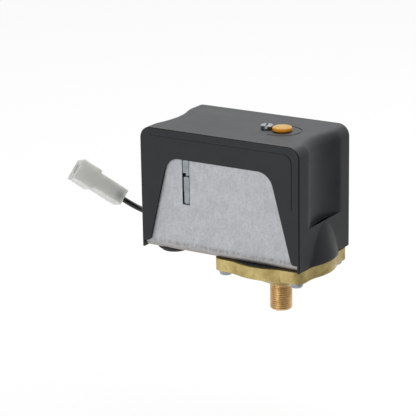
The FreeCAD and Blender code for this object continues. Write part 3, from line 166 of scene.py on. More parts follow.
def makeCoverAbs(look):
    material, tree, shader, place = startMaterial("mouldedBlackAbs", look["sockets"])
    cloud = addNode(tree, "ShaderNodeTexNoise", look["cloud"], {"Vector": place}).outputs["Fac"]
    dust = addNode(tree, "ShaderNodeMapRange", look["dustLevel"], {"Value": cloud})
    tones = {"data_type": "RGBA", colourUnder: toLinear(look["colour"]), colourOver: toLinear(look["dusty"])}
    colour = addNode(tree, "ShaderNodeMix", tones, {mixShare: dust.outputs["Result"]}).outputs[colourMixed]
    spot = addNode(tree, "ShaderNodeSeparateXYZ", links={"Vector": place}).outputs
    normal = addNode(tree, "ShaderNodeNewGeometry").outputs["Normal"]
    facing = addNode(tree, "ShaderNodeVectorMath", {"operation": "DOT_PRODUCT", 1: look["frontWay"]},
                     {0: normal}).outputs["Value"]
    turned = addNode(tree, "ShaderNodeMapRange", look["rimTurned"], {"Value": facing}).outputs["Result"]
    sloped = addNode(tree, "ShaderNodeMapRange", look["rimSloped"], {"Value": facing}).outputs["Result"]
    flat = addNode(tree, "ShaderNodeMath", {"operation": "SUBTRACT", 0: 1.0}, {1: turned}).outputs["Value"]
    front = min(corner[1] for corner in nodes["cover"].bound_box)
    behind = {}
    for name in ("edge", "line"):
        none, full = look[name + "Mm"]
        limits = {"From Min": front + none * mm, "From Max": front + full * mm}
        behind[name] = addNode(tree, "ShaderNodeMapRange", limits, {"Value": spot["Y"]}).outputs["Result"]
    masks = {
        # painted shade on the front rim
        "edge": [turned, sloped, behind["edge"]],
        # painted light in the line round the front panel
        "line": [behind["line"], flat, behind["edge"]],
        "blend": [],
    }
    for limit in look["blendMm"]:
        offset = addNode(tree, "ShaderNodeMath", {"operation": "SUBTRACT", 1: limit["middle"] * mm},
                         {0: spot[limit["axis"]]})
        away = addNode(tree, "ShaderNodeMath", {"operation": "ABSOLUTE"}, {0: offset.outputs["Value"]})
        limits = {"From Min": limit["none"] * mm, "From Max": limit["full"] * mm}
        inside = addNode(tree, "ShaderNodeMapRange", limits, {"Value": away.outputs["Value"]})
        masks["blend"].append(inside.outputs["Result"])
    shares = {}
    for name, values in masks.items():
        shares[name] = values[0]
        for value in values[1:]:
            product = addNode(tree, "ShaderNodeMath", {"operation": "MULTIPLY"}, {0: shares[name], 1: value})
            shares[name] = product.outputs["Value"]
    # lays the rim's painted shade and the line's painted light over the cover's colour
    for name in ("edge", "line"):
        colour = addNode(tree, "ShaderNodeMix", {"data_type": "RGBA", colourOver: toLinear(look[name])},
                         {mixShare: shares[name], colourUnder: colour}).outputs[colourMixed]
    tree.links.new(colour, shader.inputs["Base Color"])
    rough = addNode(tree, "ShaderNodeMapRange", look["roughness"], {"Value": cloud})
    polished = addNode(tree, "ShaderNodeMix", {floatOver: look["edgeRoughness"]},
                       {mixShare: shares["edge"], floatUnder: rough.outputs["Result"]})
    tree.links.new(polished.outputs[floatMixed], shader.inputs["Roughness"])
    blended = addNode(tree, "ShaderNodeBevel", look["bevel"])
    surface = addNode(tree, "ShaderNodeMix", {"data_type": "VECTOR"},
                      {mixShare: shares["blend"], vectorUnder: normal, vectorOver: blended.outputs["Normal"]})
    grain = addNode(tree, "ShaderNodeTexNoise", look["grain"], {"Vector": place})
    bump = addNode(tree, "ShaderNodeBump", look["grainBump"],
                   {"Height": grain.outputs["Fac"], "Normal": surface.outputs[vectorMixed]})
    tree.links.new(bump.outputs["Normal"], shader.inputs["Normal"])
    return material


# hot-dip galvanised sheet: flat grey zinc with a fine speckle, faint rolling streaks, a few dark pits,
# a row of dark smudges where the press gripped it above the bend, and a warmer streaked band at its foot
galvanisedSheet = {
    "sockets": {"Metallic": 0.7},
    "dark": "#A9ABAF",
    "light": "#C3C5C9",
    "spangle": {"Scale": perMetre(6.0), "Randomness": 1.0},
    "spangleShare": 0.14,
    "speckle": {"Scale": perMetre(1.1), "Detail": 4.0, "Roughness": 0.7},
    "streak": {"Scale": perMetre(1.3), "Detail": 3.0},
    "streakStretch": (1.0, 1.0, 0.2),  # drawn out upright by the rolls
    "streakShare": 0.35,
    "lightLevel": {"From Min": 0.52, "From Max": 0.98},
    "roughness": {"To Min": 0.46, "To Max": 0.60},
    "bump": {"Strength": 0.08, "Distance": 0.1 * mm},
    # what lies over the zinc, lowest first; rowsMm are heights where a mark is nil and where it is full
    "marks": [
        # fine flecks
        {"colour": "#8B8D91", "stretch": (1.0, 1.0, 1.0), "rowsMm": [],
         "noise": {"Scale": perMetre(1.0), "Detail": 2.0},
         "level": {"From Min": 0.60, "From Max": 0.72, "To Max": 0.6}},
        # dark pits
        {"colour": "#6F6C6A", "stretch": (1.0, 1.0, 1.0), "rowsMm": [],
         "noise": {"Scale": perMetre(2.6), "Detail": 3.0, "Roughness": 0.6},
         "level": {"From Min": 0.71, "From Max": 0.80, "To Max": 0.75}},
        # the warm band at the foot
        {"colour": "#A39E99", "stretch": (0.18, 1.0, 1.6), "rowsMm": [(22.8, 20.8)],
         "noise": {"Scale": perMetre(1.3), "Detail": 4.0},
         "level": {"From Min": 0.3, "From Max": 0.65, "To Min": 0.35, "To Max": 1.0}},
        # the row of smudges above it
        {"colour": "#807C77", "stretch": (1.0, 1.0, 0.4), "rowsMm": [(21.2, 22.9), (25.3, 22.9)],
         "noise": {"Scale": perMetre(1.2), "Detail": 3.0, "Roughness": 0.6},
         "level": {"From Min": 0.36, "From Max": 0.60, "To Max": 0.72}},
    ],
    # the slot punched for the flag, with a painted shade line round its edge
    "slotEdge": "#4A4C4F",
    "slotMm": {"middle": (-46.3, 60.85), "half": (2.2, 13.25), "none": 0.35, "full": 0.21},
}


def makeGalvanisedSheet(look):
    material, tree, shader, place = startMaterial("galvanisedSheet", look["sockets"])
    spot = addNode(tree, "ShaderNodeSeparateXYZ", links={"Vector": place}).outputs
    spangle = addNode(tree, "ShaderNodeTexVoronoi", look["spangle"], {"Vector": place})
    tone = addNode(tree, "ShaderNodeSeparateColor", links={"Color": spangle.outputs["Color"]})
    speckle = addNode(tree, "ShaderNodeTexNoise", look["speckle"], {"Vector": place}).outputs["Fac"]
    upright = addNode(tree, "ShaderNodeVectorMath", {"operation": "MULTIPLY", 1: look["streakStretch"]},
                      {0: place})
    streak = addNode(tree, "ShaderNodeTexNoise", look["streak"], {"Vector": upright.outputs["Vector"]})
    fine = addNode(tree, "ShaderNodeMath", {"operation": "MULTIPLY_ADD", 1: look["streakShare"]},
                   {0: streak.outputs["Fac"], 2: speckle})
    mixed = addNode(tree, "ShaderNodeMath", {"operation": "MULTIPLY_ADD", 1: look["spangleShare"]},
                    {0: tone.outputs["Red"], 2: fine.outputs["Value"]})
    level = addNode(tree, "ShaderNodeMapRange", look["lightLevel"], {"Value": mixed.outputs["Value"]})
    tones = {"data_type": "RGBA", colourUnder: toLinear(look["dark"]), colourOver: toLinear(look["light"])}
    colour = addNode(tree, "ShaderNodeMix", tones, {mixShare: level.outputs["Result"]}).outputs[colourMixed]
    layers = []
    for mark in look["marks"]:
        drawn = addNode(tree, "ShaderNodeVectorMath", {"operation": "MULTIPLY", 1: mark["stretch"]},
                        {0: place})
        noise = addNode(tree, "ShaderNodeTexNoise", mark["noise"], {"Vector": drawn.outputs["Vector"]})
        share = addNode(tree, "ShaderNodeMapRange", mark["level"],
                        {"Value": noise.outputs["Fac"]}).outputs["Result"]
        for none, full in mark["rowsMm"]:
            limits = {"From Min": none * mm, "From Max": full * mm, "interpolation_type": "SMOOTHSTEP"}
            row = addNode(tree, "ShaderNodeMapRange", limits, {"Value": spot["Z"]})
            share = addNode(tree, "ShaderNodeMath", {"operation": "MULTIPLY"},
                            {0: share, 1: row.outputs["Result"]}).outputs["Value"]
        layers.append((mark["colour"], share))
    # painted shade in a thin band round the slot's edge
    slot = look["slotMm"]
    away = []
    for axis, middle, half in zip("XZ", slot["middle"], slot["half"]):
        offset = addNode(tree, "ShaderNodeMath", {"operation": "SUBTRACT", 1: middle * mm}, {0: spot[axis]})
        size = addNode(tree, "ShaderNodeMath", {"operation": "ABSOLUTE"}, {0: offset.outputs["Value"]})
        past = addNode(tree, "ShaderNodeMath", {"operation": "SUBTRACT", 1: half * mm},
                       {0: size.outputs["Value"]})
        away.append(past.outputs["Value"])
    outside = addNode(tree, "ShaderNodeMath", {"operation": "MAXIMUM"}, {0: away[0], 1: away[1]})
    paintedSlotShade = addNode(tree, "ShaderNodeMapRange", {"From Min": slot["none"] * mm, "From Max": slot["full"] * mm},
                   {"Value": outside.outputs["Value"]})
    layers.append((look["slotEdge"], paintedSlotShade.outputs["Result"]))
    for over, share in layers:
        colour = addNode(tree, "ShaderNodeMix", {"data_type": "RGBA", colourOver: toLinear(over)},
                         {mixShare: share, colourUnder: colour}).outputs[colourMixed]
    tree.links.new(colour, shader.inputs["Base Color"])
    rough = addNode(tree, "ShaderNodeMapRange", look["roughness"], {"Value": speckle})
    tree.links.new(rough.outputs["Result"], shader.inputs["Roughness"])
    bump = addNode(tree, "ShaderNodeBump", look["bump"], {"Height": speckle})
    tree.links.new(bump.outputs["Normal"], shader.inputs["Normal"])
    return material


# brass, sand cast and tumbled: a pale dull yellow with darker oxide in patches and a sandy skin
castBrass = {
    "name": "castBrass", "bright": "#CDBB80", "dull": "#AB965F", "patchMm": 9.0, "skinMm": 0.9,
    "roughness": (0.38, 0.56), "skinDepth": 0.22, "metallic": 0.85, "scratch": "#7E6C3E", "scratchMm": 1.6,
}
# brass, turned from bar: redder and smoother than the casting
turnedBrass = {
    "name": "turnedBrass", "bright": "#E6C898", "dull": "#CCA878", "patchMm": 5.0, "skinMm": 0.5,
    "roughness": (0.28, 0.42), "skinDepth": 0.06, "metallic": 0.95,
}
# brass strip for contacts: clean and bright from the rolls
stripBrass = {
    "name": "rolledBrassStrip", "bright": "#D6B267", "dull": "#BE9850", "patchMm": 6.0, "skinMm": 0.8,
    "roughness": (0.24, 0.36), "skinDepth": 0.05, "metallic": 1.0,
}
# steel, zinc plated and clear passivated: a cool grey, bright enough to mirror the dark cover beside it
platedSteel = {
    "name": "zincPlatedSteel", "bright": "#A6ADB0", "dull": "#878D91", "patchMm": 4.0, "skinMm": 0.6,
    "roughness": (0.16, 0.30), "skinDepth": 0.05, "metallic": 1.0,
}
# patented spring wire: drawn smooth, a darker grey with a tight highlight
springWire = {
    "name": "drawnSpringWire", "bright": "#9A9DA1", "dull": "#7C8084", "patchMm": 3.0, "skinMm": 0.5,
    "roughness": (0.24, 0.36), "skinDepth": 0.04, "metallic": 1.0,
}
# nitrile rubber, compression moulded: dead black that greys only at a grazing angle
nitrileRubber = {
    "name": "nitrileRubber", "bright": "#232325", "dull": "#19191B", "patchMm": 6.0, "skinMm": 0.8,
    "roughness": (0.62, 0.78), "skinDepth": 0.10, "metallic": 0.0,
}
# PVC sheath, extruded: smooth black with a long soft highlight
pvcSheath = {
    "name": "extrudedPvc", "bright": "#1B1B1E", "dull": "#131315", "patchMm": 8.0, "skinMm": 0.6,
    "roughness": (0.34, 0.46), "skinDepth": 0.05, "metallic": 0.0,
}
# phenolic, compression moulded: brown-black, mottled by its filler
phenolic = {
    "name": "mouldedPhenolic", "bright": "#2B241F", "dull": "#1C1714", "patchMm": 2.0, "skinMm": 0.6,
    "roughness": (0.38, 0.5), "skinDepth": 0.06, "metallic": 0.0,
}
# polyester, injection moulded in ivory: even and slightly waxy
ivoryPolyester = {
    "name": "mouldedIvoryPolyester", "bright": "#D8CFB8", "dull": "#C8BEA4", "patchMm": 12.0, "skinMm": 0.7,
    "roughness": (0.4, 0.52), "skinDepth": 0.05, "metallic": 0.0,
}
# the patterns that these looks share
skinPattern = {
    "patch": {"Detail": 5.0, "Roughness": 0.62},
    "level": {"From Min": 0.32, "From Max": 0.68},
    "slant": {"Rotation": (0.3, 0.5, 0.4), "Scale": (1.0, 0.12, 0.5)},
    "lines": {"Detail": 3.0, "Distortion": 0.4},
    "thin": {"From Min": 0.60, "From Max": 0.70, "To Max": 0.55},
    "skin": {"Detail": 3.0},
    "skinReach": 0.2 * mm,
}


def makeSkin(look):
    # two tones in patches, roughness that follows them, and a fine skin
    material, tree, shader, place = startMaterial(look["name"], {"Metallic": look["metallic"]})
    patch = addNode(tree, "ShaderNodeTexNoise", {"Scale": perMetre(look["patchMm"]), **skinPattern["patch"]},
                    {"Vector": place})
    level = addNode(tree, "ShaderNodeMapRange", skinPattern["level"],
                    {"Value": patch.outputs["Fac"]}).outputs["Result"]
    tones = {"data_type": "RGBA", colourUnder: toLinear(look["dull"]), colourOver: toLinear(look["bright"])}
    colour = addNode(tree, "ShaderNodeMix", tones, {mixShare: level}).outputs[colourMixed]
    if "scratch" in look:
        # thin dark lines left by handling, all drawn out along one slant
        slant = addNode(tree, "ShaderNodeMapping", skinPattern["slant"], {"Vector": place})
        lines = addNode(tree, "ShaderNodeTexNoise",
                        {"Scale": perMetre(look["scratchMm"]), **skinPattern["lines"]},
                        {"Vector": slant.outputs["Vector"]})
        thin = addNode(tree, "ShaderNodeMapRange", skinPattern["thin"], {"Value": lines.outputs["Fac"]})
        colour = addNode(tree, "ShaderNodeMix", {"data_type": "RGBA", colourOver: toLinear(look["scratch"])},
                         {mixShare: thin.outputs["Result"], colourUnder: colour}).outputs[colourMixed]
    tree.links.new(colour, shader.inputs["Base Color"])
    smoothest, roughest = look["roughness"]
    rough = addNode(tree, "ShaderNodeMapRange", {"To Min": roughest, "To Max": smoothest}, {"Value": level})
    tree.links.new(rough.outputs["Result"], shader.inputs["Roughness"])
    skin = addNode(tree, "ShaderNodeTexNoise", {"Scale": perMetre(look["skinMm"]), **skinPattern["skin"]},
                   {"Vector": place})
    bump = addNode(tree, "ShaderNodeBump",
                   {"Strength": look["skinDepth"], "Distance": skinPattern["skinReach"]},
                   {"Height": skin.outputs["Fac"]})
    tree.links.new(bump.outputs["Normal"], shader.inputs["Normal"])
    return material


# acetal, injection moulded in orange: a deep even colour with a waxy sheen
orangeAcetal = {
    "sockets": {"Roughness": 0.34, "IOR": 1.48, "Subsurface Weight": 0.8, "Subsurface Scale": 1.6 * mm,
                "Subsurface Radius": (1.0, 0.85, 0.35)},
    "top": "#BE9222",  # painted shade: a duller, darker orange for the upward faces, under the lamps' white sheen
    # painted light: a brighter orange for the sides, which get little light
    "side": "#F2A61C",
    "flow": {"Scale": perMetre(4.0), "Detail": 3.0},
    "flowShare": 0.3,
    "topLevel": {"From Min": 0.45, "From Max": 1.05},
    "fine": {"Scale": perMetre(0.6), "Detail": 2.0},
    "bump": {"Strength": 0.04, "Distance": 0.1 * mm},
}


def makeOrangeAcetal(look):
    material, tree, shader, place = startMaterial("mouldedOrangeAcetal", look["sockets"])
    flow = addNode(tree, "ShaderNodeTexNoise", look["flow"], {"Vector": place})
    normal = addNode(tree, "ShaderNodeNewGeometry").outputs["Normal"]
    facing = addNode(tree, "ShaderNodeSeparateXYZ", links={"Vector": normal})
    # painted light and shade: upward faces take the top colour and the others the side colour, shifted a
    # little by the flow noise
    wander = addNode(tree, "ShaderNodeMath", {"operation": "MULTIPLY_ADD", 1: look["flowShare"]},
                     {0: flow.outputs["Fac"], 2: facing.outputs["Z"]})
    upward = addNode(tree, "ShaderNodeMapRange", look["topLevel"], {"Value": wander.outputs["Value"]})
    tones = {"data_type": "RGBA", colourUnder: toLinear(look["side"]), colourOver: toLinear(look["top"])}
    colour = addNode(tree, "ShaderNodeMix", tones, {mixShare: upward.outputs["Result"]}).outputs[colourMixed]
    tree.links.new(colour, shader.inputs["Base Color"])
    fine = addNode(tree, "ShaderNodeTexNoise", look["fine"], {"Vector": place})
    bump = addNode(tree, "ShaderNodeBump", look["bump"], {"Height": fine.outputs["Fac"]})
    tree.links.new(bump.outputs["Normal"], shader.inputs["Normal"])
    return material


# natural nylon, injection moulded with no pigment: milky, lets some light through, clearer where it is thin
naturalNylon = {
    "sockets": {"Roughness": 0.42, "IOR": 1.53, "Specular IOR Level": 0.2, "Subsurface Weight": 0.8,
                "Subsurface Scale": 5.0 * mm, "Subsurface Radius": (1.0, 0.95, 0.9)},
    "colour": "#DFE0DC",
    "clear": "#D2D4D1",
    "flow": {"Scale": perMetre(7.0), "Detail": 3.0, "Distortion": 0.6},
    # the end round the opening is painted a darker grey: painted shade, for thin walls that let more light
    # through than they send back
    "mouth": "#BFC1BD",
    "mouthMm": {"way": (-0.59, -0.54, 0.601), "none": 120.6, "full": 121.3},  # along the connector's axis
    # the lead's black end inside, seen dimly through the wall
    "shadow": "#6F797E",
    "shadowMm": {"middle": (-106.7, -9.6, 39.1), "none": 5.5, "full": 1.5},
    "fine": {"Scale": perMetre(0.8), "Detail": 2.0},
    "bump": {"Strength": 0.05, "Distance": 0.1 * mm},
}


def makeNaturalNylon(look):
    material, tree, shader, place = startMaterial("naturalNylon", look["sockets"])
    flow = addNode(tree, "ShaderNodeTexNoise", look["flow"], {"Vector": place})
    tones = {"data_type": "RGBA", colourUnder: toLinear(look["clear"]), colourOver: toLinear(look["colour"])}
    colour = addNode(tree, "ShaderNodeMix", tones, {mixShare: flow.outputs["Fac"]}).outputs[colourMixed]
    mouth, shadow = look["mouthMm"], look["shadowMm"]
    along = addNode(tree, "ShaderNodeVectorMath", {"operation": "DOT_PRODUCT", 1: mouth["way"]}, {0: place})
    away = addNode(tree, "ShaderNodeVectorMath", {"operation": "DISTANCE", 1: Vector(shadow["middle"]) * mm},
                   {0: place})
    # the painted shade at the opening and that of the lead's end inside, laid over the nylon's colour
    paintedShades = [("mouth", mouth, along, "LINEAR"), ("shadow", shadow, away, "SMOOTHSTEP")]
    for name, limit, measure, easing in paintedShades:
        limits = {"From Min": limit["none"] * mm, "From Max": limit["full"] * mm, "interpolation_type": easing}
        share = addNode(tree, "ShaderNodeMapRange", limits, {"Value": measure.outputs["Value"]})
        colour = addNode(tree, "ShaderNodeMix", {"data_type": "RGBA", colourOver: toLinear(look[name])},
                         {mixShare: share.outputs["Result"], colourUnder: colour}).outputs[colourMixed]
    tree.links.new(colour, shader.inputs["Base Color"])
    fine = addNode(tree, "ShaderNodeTexNoise", look["fine"], {"Vector": place})
    bump = addNode(tree, "ShaderNodeBump", look["bump"], {"Height": fine.outputs["Fac"]})
    tree.links.new(bump.outputs["Normal"], shader.inputs["Normal"])
    return material


finishes = {
    "moulding_black": makeCoverAbs(coverAbs),
    "galvanised_sheet": makeGalvanisedSheet(galvanisedSheet),
    "cast_brass": makeSkin(castBrass),
    "turned_brass": makeSkin(turnedBrass),
    "zinc_plated_steel": makeSkin(platedSteel),
    "spring_steel": makeSkin(springWire),
    "rubber_black": makeSkin(nitrileRubber),
    "knob_orange": makeOrangeAcetal(orangeAcetal),
    "phenolic_black": makeSkin(phenolic),
    "carrier_ivory": makeSkin(ivoryPolyester),
    "contact_brass": makeSkin(stripBrass),
    "lead_black": makeSkin(pvcSheath),
    "nylon_natural": makeNaturalNylon(naturalNylon),
}
slotOf = {row["node"]: row["material_slot"] for row in frame["record"]["subparts"]}
for nodeName, nodeObject in nodes.items():
    nodeObject.data.materials.clear()
    nodeObject.data.materials.append(finishes[slotOf[nodeName]])
print("finishes made:", len(finishes))

# the short lead from the bush in the left wall to its connector
leadSettings = {
    "route": [(-78.4, 3.7, 26.1), (-86.9, 3.7, 26.1), (-95.0, 1.9, 28.1), (-101.9, -1.4, 31.8),
              (-106.9, -6.0, 36.9)],
    "radiusMm": 1.7,
    "lengthMm": 33.8,
    "stepsAround": 6,
    "stepsAlong": 16,
}


def makeLead(settings):
    curve = bpy.data.curves.new("lead", "CURVE")
    curve.dimensions = "3D"
    curve.bevel_depth = settings["radiusMm"] * mm
    curve.bevel_resolution = settings["stepsAround"]
    curve.use_fill_caps = True
    spline = curve.splines.new("NURBS")
    spline.points.add(len(settings["route"]) - 1)
    for point, spot in zip(spline.points, settings["route"]):
        point.co = (*(Vector(spot) * mm), 1.0)
    spline.order_u = 3
    spline.use_endpoint_u = True
    spline.resolution_u = settings["stepsAlong"]
    lead = bpy.data.objects.new("leadSheath", curve)
    scene.collection.objects.link(lead)
    curve.materials.append(finishes["lead_black"])
    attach(lead, "frame_body")
    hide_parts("lead")


makeLead(leadSettings)
print("lead made")


def anglesAround(count):
    return [math.tau * step / count for step in range(count)]


def joinRings(mesh, rings):
    # a band of four-sided faces from each ring of points to the next
    for ring, following in zip(rings, rings[1:]):
        for step in range(len(ring)):
            after = (step + 1) % len(ring)
            mesh.faces.new((ring[step], ring[after], following[after], following[step]))


def placeMesh(mesh, name):
    # the mesh that was built as an object in the scene
    bmesh.ops.recalc_face_normals(mesh, faces=mesh.faces)
    data = bpy.data.meshes.new(name)
    mesh.to_mesh(data)
    mesh.free()
    piece = bpy.data.objects.new(name, data)
    scene.collection.objects.link(piece)
    return piece


def finishMesh(data, sharpDegrees, finish):
    # smooth shading that breaks at edges sharper than this, and one finish
    data.polygons.foreach_set("use_smooth", [True] * len(data.polygons))
    data.set_sharp_from_angle(angle=math.radians(sharpDegrees))
    data.materials.clear()
    data.materials.append(finish)


# the nipple with its pipe thread, 19 turns to the inch, right-handed and rounded at root and crest
nippleSettings = {
    "crestMm": 6.5785,
    "pitchMm": 1.337,
    "depthMm": 0.62,
    "crestShape": 0.6,  # power of the wave, under 1 so that the crests are wider than the roots
    "neckMm": 0.5,
    "runOutMm": 0.8,  # below the neck, the way in which the thread reaches its depth
    "lengthMm": 16.0,
    "chamferMm": 0.9,
    "boreMm": 2.6,
    "spigotMm": (4.8, 6.0),  # radius and height inside the casting
    "stepsAround": 72,
    "stepsPerTurn": 10,
    "sharpDegrees": 50,
}


def makeNipple(settings):
    crest, pitch, length = settings["crestMm"], settings["pitchMm"], settings["lengthMm"]
    bore = settings["boreMm"]
    spigotRadius, spigotTop = settings["spigotMm"]
    around = settings["stepsAround"]
    angles = anglesAround(around)
    rowCount = int(round(length / pitch * settings["stepsPerTurn"]))
    rows = []
    for row in range(rowCount + 1):
        z = -length * row / rowCount
        cutIn = min(max((-z - settings["neckMm"]) / settings["runOutMm"], 0.0), 1.0)
        chamfer = crest - settings["chamferMm"] + (z + length)
        radii = []
        for step in range(around):
            wave = 0.5 + 0.5 * math.cos(math.tau * (z / pitch - step / around))
            radius = crest - settings["depthMm"] * cutIn * (1.0 - wave ** settings["crestShape"])
            radii.append(min(radius, chamfer))
        rows.append((z, radii))
    for radius, z in ((bore, -length), (bore, spigotTop), (spigotRadius, spigotTop), (spigotRadius, 0.0)):
        rows.append((z, [radius] * around))
    mesh = bmesh.new()
    rings = [[mesh.verts.new((radius * mm * math.cos(angle), radius * mm * math.sin(angle), z * mm))
              for radius, angle in zip(radii, angles)] for z, radii in rows]
    joinRings(mesh, rings + rings[:1])
    nipple = placeMesh(mesh, "nippleThread")
    finishMesh(nipple.data, settings["sharpDegrees"], finishes["turned_brass"])
    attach(nipple, "frame_body")
    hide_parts("port_nipple")


makeNipple(nippleSettings)
print("nipple threaded")

# the four flange screws: pan heads with a full rounded rim and a driver slot,
# standing under the flange's ears
screwSettings = {
    "spotMm": 23.2,  # from the port's axis, both ways
    "profileMm": [(2.2, 7.8), (3.1, 8.0), (3.65, 8.5), (3.9, 9.4), (3.9, 11.2), (1.98, 11.2), (1.98, 20.7)],
    "slotMm": {"width": 1.4, "floor": 9.1, "length": 9.0},
    "slotTurn": math.radians(20.0),
    "stepsAround": 48,
    "sharpDegrees": 35,
}


def makeScrews(settings):
    angles = anglesAround(settings["stepsAround"])
    reach, slot = settings["spotMm"], settings["slotMm"]
    heads, slots = bmesh.new(), bmesh.new()
    for x, y in [(-reach, -reach), (-reach, reach), (reach, -reach), (reach, reach)]:
        rings = [[heads.verts.new(((x + radius * math.cos(angle)) * mm,
                                   (y + radius * math.sin(angle)) * mm, z * mm))
                  for angle in angles] for radius, z in settings["profileMm"]]
        heads.faces.new(rings[0])
        heads.faces.new(rings[-1])
        joinRings(heads, rings)
        bar = Matrix.Translation(Vector((x, y, slot["floor"] - slot["length"] / 2)) * mm)
        bar = bar @ Matrix.Rotation(settings["slotTurn"], 4, "Z")
        bar = bar @ Matrix.Diagonal((slot["length"] * mm, slot["width"] * mm, slot["length"] * mm, 1.0))
        bmesh.ops.create_cube(slots, size=1.0, matrix=bar)
    screws = placeMesh(heads, "flangeScrews")
    cutter = placeMesh(slots, "screwSlots")
    cut = screws.modifiers.new("slots", "BOOLEAN")
    cut.object = cutter
    bpy.context.view_layer.update()
    data = bpy.data.meshes.new_from_object(screws.evaluated_get(bpy.context.evaluated_depsgraph_get()))
    screws.modifiers.clear()
    screws.data = data
    bpy.data.objects.remove(cutter)
    finishMesh(data, settings["sharpDegrees"], finishes["zinc_plated_steel"])
    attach(screws, "frame_body")
    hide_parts("flange_screws")


makeScrews(screwSettings)
print("flange screws made")

# the two setting springs, wound from round wire with a closed turn at each end;
# each is made in two halves, the upper by its nut and the lower by the lever that it presses on
springSettings = [
    {"node": "range_spring", "name": "rangeSpring", "axisMm": (1.9, -1.2), "coilMm": 4.6, "wireMm": 1.6,
     "turns": 6, "nut": "range_nut_body"},
    {"node": "differential_spring", "name": "differentialSpring", "axisMm": (-8.0, -1.2), "coilMm": 2.75,
     "wireMm": 0.8, "turns": 8, "nut": "differential_nut_body"},
]
springSteps = {
    "perTurn": 24,
    "aroundWire": 10,
    "closedTurn": 1.25,  # a closed turn rises by this many wires
    "sharpDegrees": 60,
}


def makeSpring(settings):
    low, high = (corner[2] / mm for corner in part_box(settings["node"]))
    wire, turns = settings["wireMm"], settings["turns"]
    closed = springSteps["closedTurn"] * wire
    openRise = high - low - wire - 2 * closed
    angles = anglesAround(springSteps["aroundWire"])
    stepCount = turns * springSteps["perTurn"]
    spine = []
    for step in range(stepCount + 1):
        turn = step / springSteps["perTurn"]
        z = low + wire / 2 + closed * (min(turn, 1) + max(turn - turns + 1, 0))
        z += openRise * min(max(turn - 1, 0), turns - 2) / (turns - 2)
        outward = Vector((math.cos(math.tau * turn), math.sin(math.tau * turn), 0.0))
        spine.append((Vector((*settings["axisMm"], z)) + settings["coilMm"] * outward, outward))
    half = stepCount // 2
    parts = [("Lower", spine[:half + 1], "lever_body", low + wire + closed),
             ("Upper", spine[half:], settings["nut"], high - wire - closed)]
    for ending, points, body, endHeight in parts:
        mesh = bmesh.new()
        rings = []
        for index, (spot, outward) in enumerate(points):
            along = points[min(index + 1, len(points) - 1)][0] - points[max(index - 1, 0)][0]
            across = along.cross(outward).normalized()
            section = [math.cos(angle) * outward + math.sin(angle) * across for angle in angles]
            rings.append([mesh.verts.new((spot + wire / 2 * way) * mm) for way in section])
        mesh.faces.new(rings[0])
        mesh.faces.new(rings[-1])
        joinRings(mesh, rings)
        coil = placeMesh(mesh, settings["name"] + ending)
        finishMesh(coil.data, springSteps["sharpDegrees"], finishes["spring_steel"])
        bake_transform(coil)
        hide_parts(settings["node"])


for spring in springSettings:
    makeSpring(spring)
print("springs wound:", len(springSettings))


def addRayMasks(tree):
    # the rays that see plain white: those mirrored or let through by the part, and with them the camera's
    rays = addNode(tree, "ShaderNodeLightPath").outputs
    clear = addNode(tree, "ShaderNodeMath", {"operation": "MAXIMUM"},
                    {0: rays["Is Glossy Ray"], 1: rays["Is Transmission Ray"]}).outputs["Value"]
    seen = addNode(tree, "ShaderNodeMath", {"operation": "MAXIMUM"},
                   {0: rays["Is Camera Ray"], 1: clear}).outputs["Value"]
    return clear, seen


def addBrightness(tree, place, unlitSides, clear):
    # full white, less what each unlit side takes away from the rays in the clear mask
    bright = None
    for side in unlitSides:
        toward = addNode(tree, "ShaderNodeVectorMath", {"operation": "DOT_PRODUCT", 1: side["way"]},
                         {0: place})
        limits = {"From Min": side["start"], "From Max": side["full"], "To Max": side["dark"]}
        unlit = addNode(tree, "ShaderNodeMapRange", limits, {"Value": toward.outputs["Value"]})
        share = addNode(tree, "ShaderNodeMath", {"operation": "MULTIPLY"},
                        {0: unlit.outputs["Result"], 1: clear})
        links = {1: share.outputs["Value"]}
        if bright is not None:
            links[0] = bright
        bright = addNode(tree, "ShaderNodeMath", {"operation": "SUBTRACT", 0: 1.0}, links).outputs["Value"]
    return bright


# pale floor under the part; an unlit side has a direction, where the dark starts and is full, and how dark
floorSettings = {
    "height": -90.0 * mm,
    "half": 4.0,
    "sockets": {"Base Color": toLinear("#F4F4F4"), "Roughness": 0.9},
    "whiteShare": 0.9,
    "unlitSides": [{"way": (1.0, -0.15, 0.0), "start": 0.04, "full": 0.32, "dark": 0.76}],
}


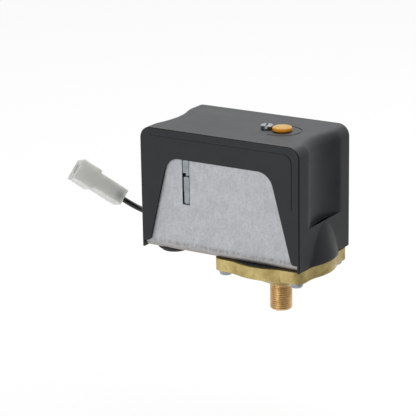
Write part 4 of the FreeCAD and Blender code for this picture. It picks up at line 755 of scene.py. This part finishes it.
def makeFloor(settings):
    half = settings["half"]
    mesh = bpy.data.meshes.new("paleFloor")
    corners = [(-half, -half), (half, -half), (half, half), (-half, half)]
    mesh.from_pydata([(x, y, settings["height"]) for x, y in corners], [], [(0, 1, 2, 3)])
    floor = bpy.data.objects.new("paleFloor", mesh)
    scene.collection.objects.link(floor)
    material, tree, shader, place = startMaterial("paintedFloor", settings["sockets"])
    clear, seen = addRayMasks(tree)
    share = addNode(tree, "ShaderNodeMath", {"operation": "MULTIPLY", 1: settings["whiteShare"]}, {0: seen})
    bright = addBrightness(tree, place, settings["unlitSides"], clear)
    glow = addNode(tree, "ShaderNodeEmission", links={"Strength": bright})
    blend = addNode(tree, "ShaderNodeMixShader", links={0: share.outputs["Value"], 1: shader.outputs["BSDF"],
                                                        2: glow.outputs["Emission"]})
    tree.links.new(blend.outputs["Shader"], tree.nodes["Material Output"].inputs["Surface"])
    mesh.materials.append(material)


# even light from all round, with unlit sides of the studio that only reflections show
worldSettings = {
    "light": 0.42,
    "unlitSides": [
        {"way": Vector((0.85, -0.50, -0.10)).normalized(), "start": 0.45, "full": 0.92, "dark": 0.75},
        {"way": Vector((-0.48, -0.35, 0.80)).normalized(), "start": 0.62, "full": 0.95, "dark": 0.70},
    ],
}


def makeWorld(settings):
    world = bpy.data.worlds.new("studio")
    scene.world = world
    world.use_nodes = True
    tree = world.node_tree
    light = tree.nodes["Background"]
    light.inputs["Color"].default_value = pureWhite
    light.inputs["Strength"].default_value = settings["light"]
    clear, seen = addRayMasks(tree)
    way = addNode(tree, "ShaderNodeTexCoord").outputs["Generated"]
    bright = addBrightness(tree, way, settings["unlitSides"], clear)
    backdrop = addNode(tree, "ShaderNodeBackground", {"Color": pureWhite}, {"Strength": bright})
    blend = addNode(tree, "ShaderNodeMixShader", links={0: seen, 1: light.outputs["Background"],
                                                        2: backdrop.outputs["Background"]})
    tree.links.new(blend.outputs["Shader"], tree.nodes["World Output"].inputs["Surface"])


# two round softboxes, aimed at the middle of the case
lampSettings = {
    "topSoftbox": {"place": (-0.10, 0.40, 0.95), "aim": (-0.02, 0.0, 0.05), "size": 1.1, "watts": 10.2},
    "frontSoftbox": {"place": (-0.35, -1.40, 0.15), "aim": (-0.02, 0.0, 0.05), "size": 0.9, "watts": 4.6},
}


def makeLamps(settings):
    for name, lamp in settings.items():
        data = bpy.data.lights.new(name, "AREA")
        data.shape = "DISK"
        data.size = lamp["size"]
        data.energy = lamp["watts"]
        lampObject = bpy.data.objects.new(name, data)
        lampObject.location = lamp["place"]
        aim = Vector(lamp["aim"]) - Vector(lamp["place"])
        lampObject.rotation_euler = aim.to_track_quat("-Z", "Y").to_euler()
        scene.collection.objects.link(lampObject)


makeFloor(floorSettings)
makeWorld(worldSettings)
makeLamps(lampSettings)
scene.view_settings.view_transform = "Standard"
print("stage lit")
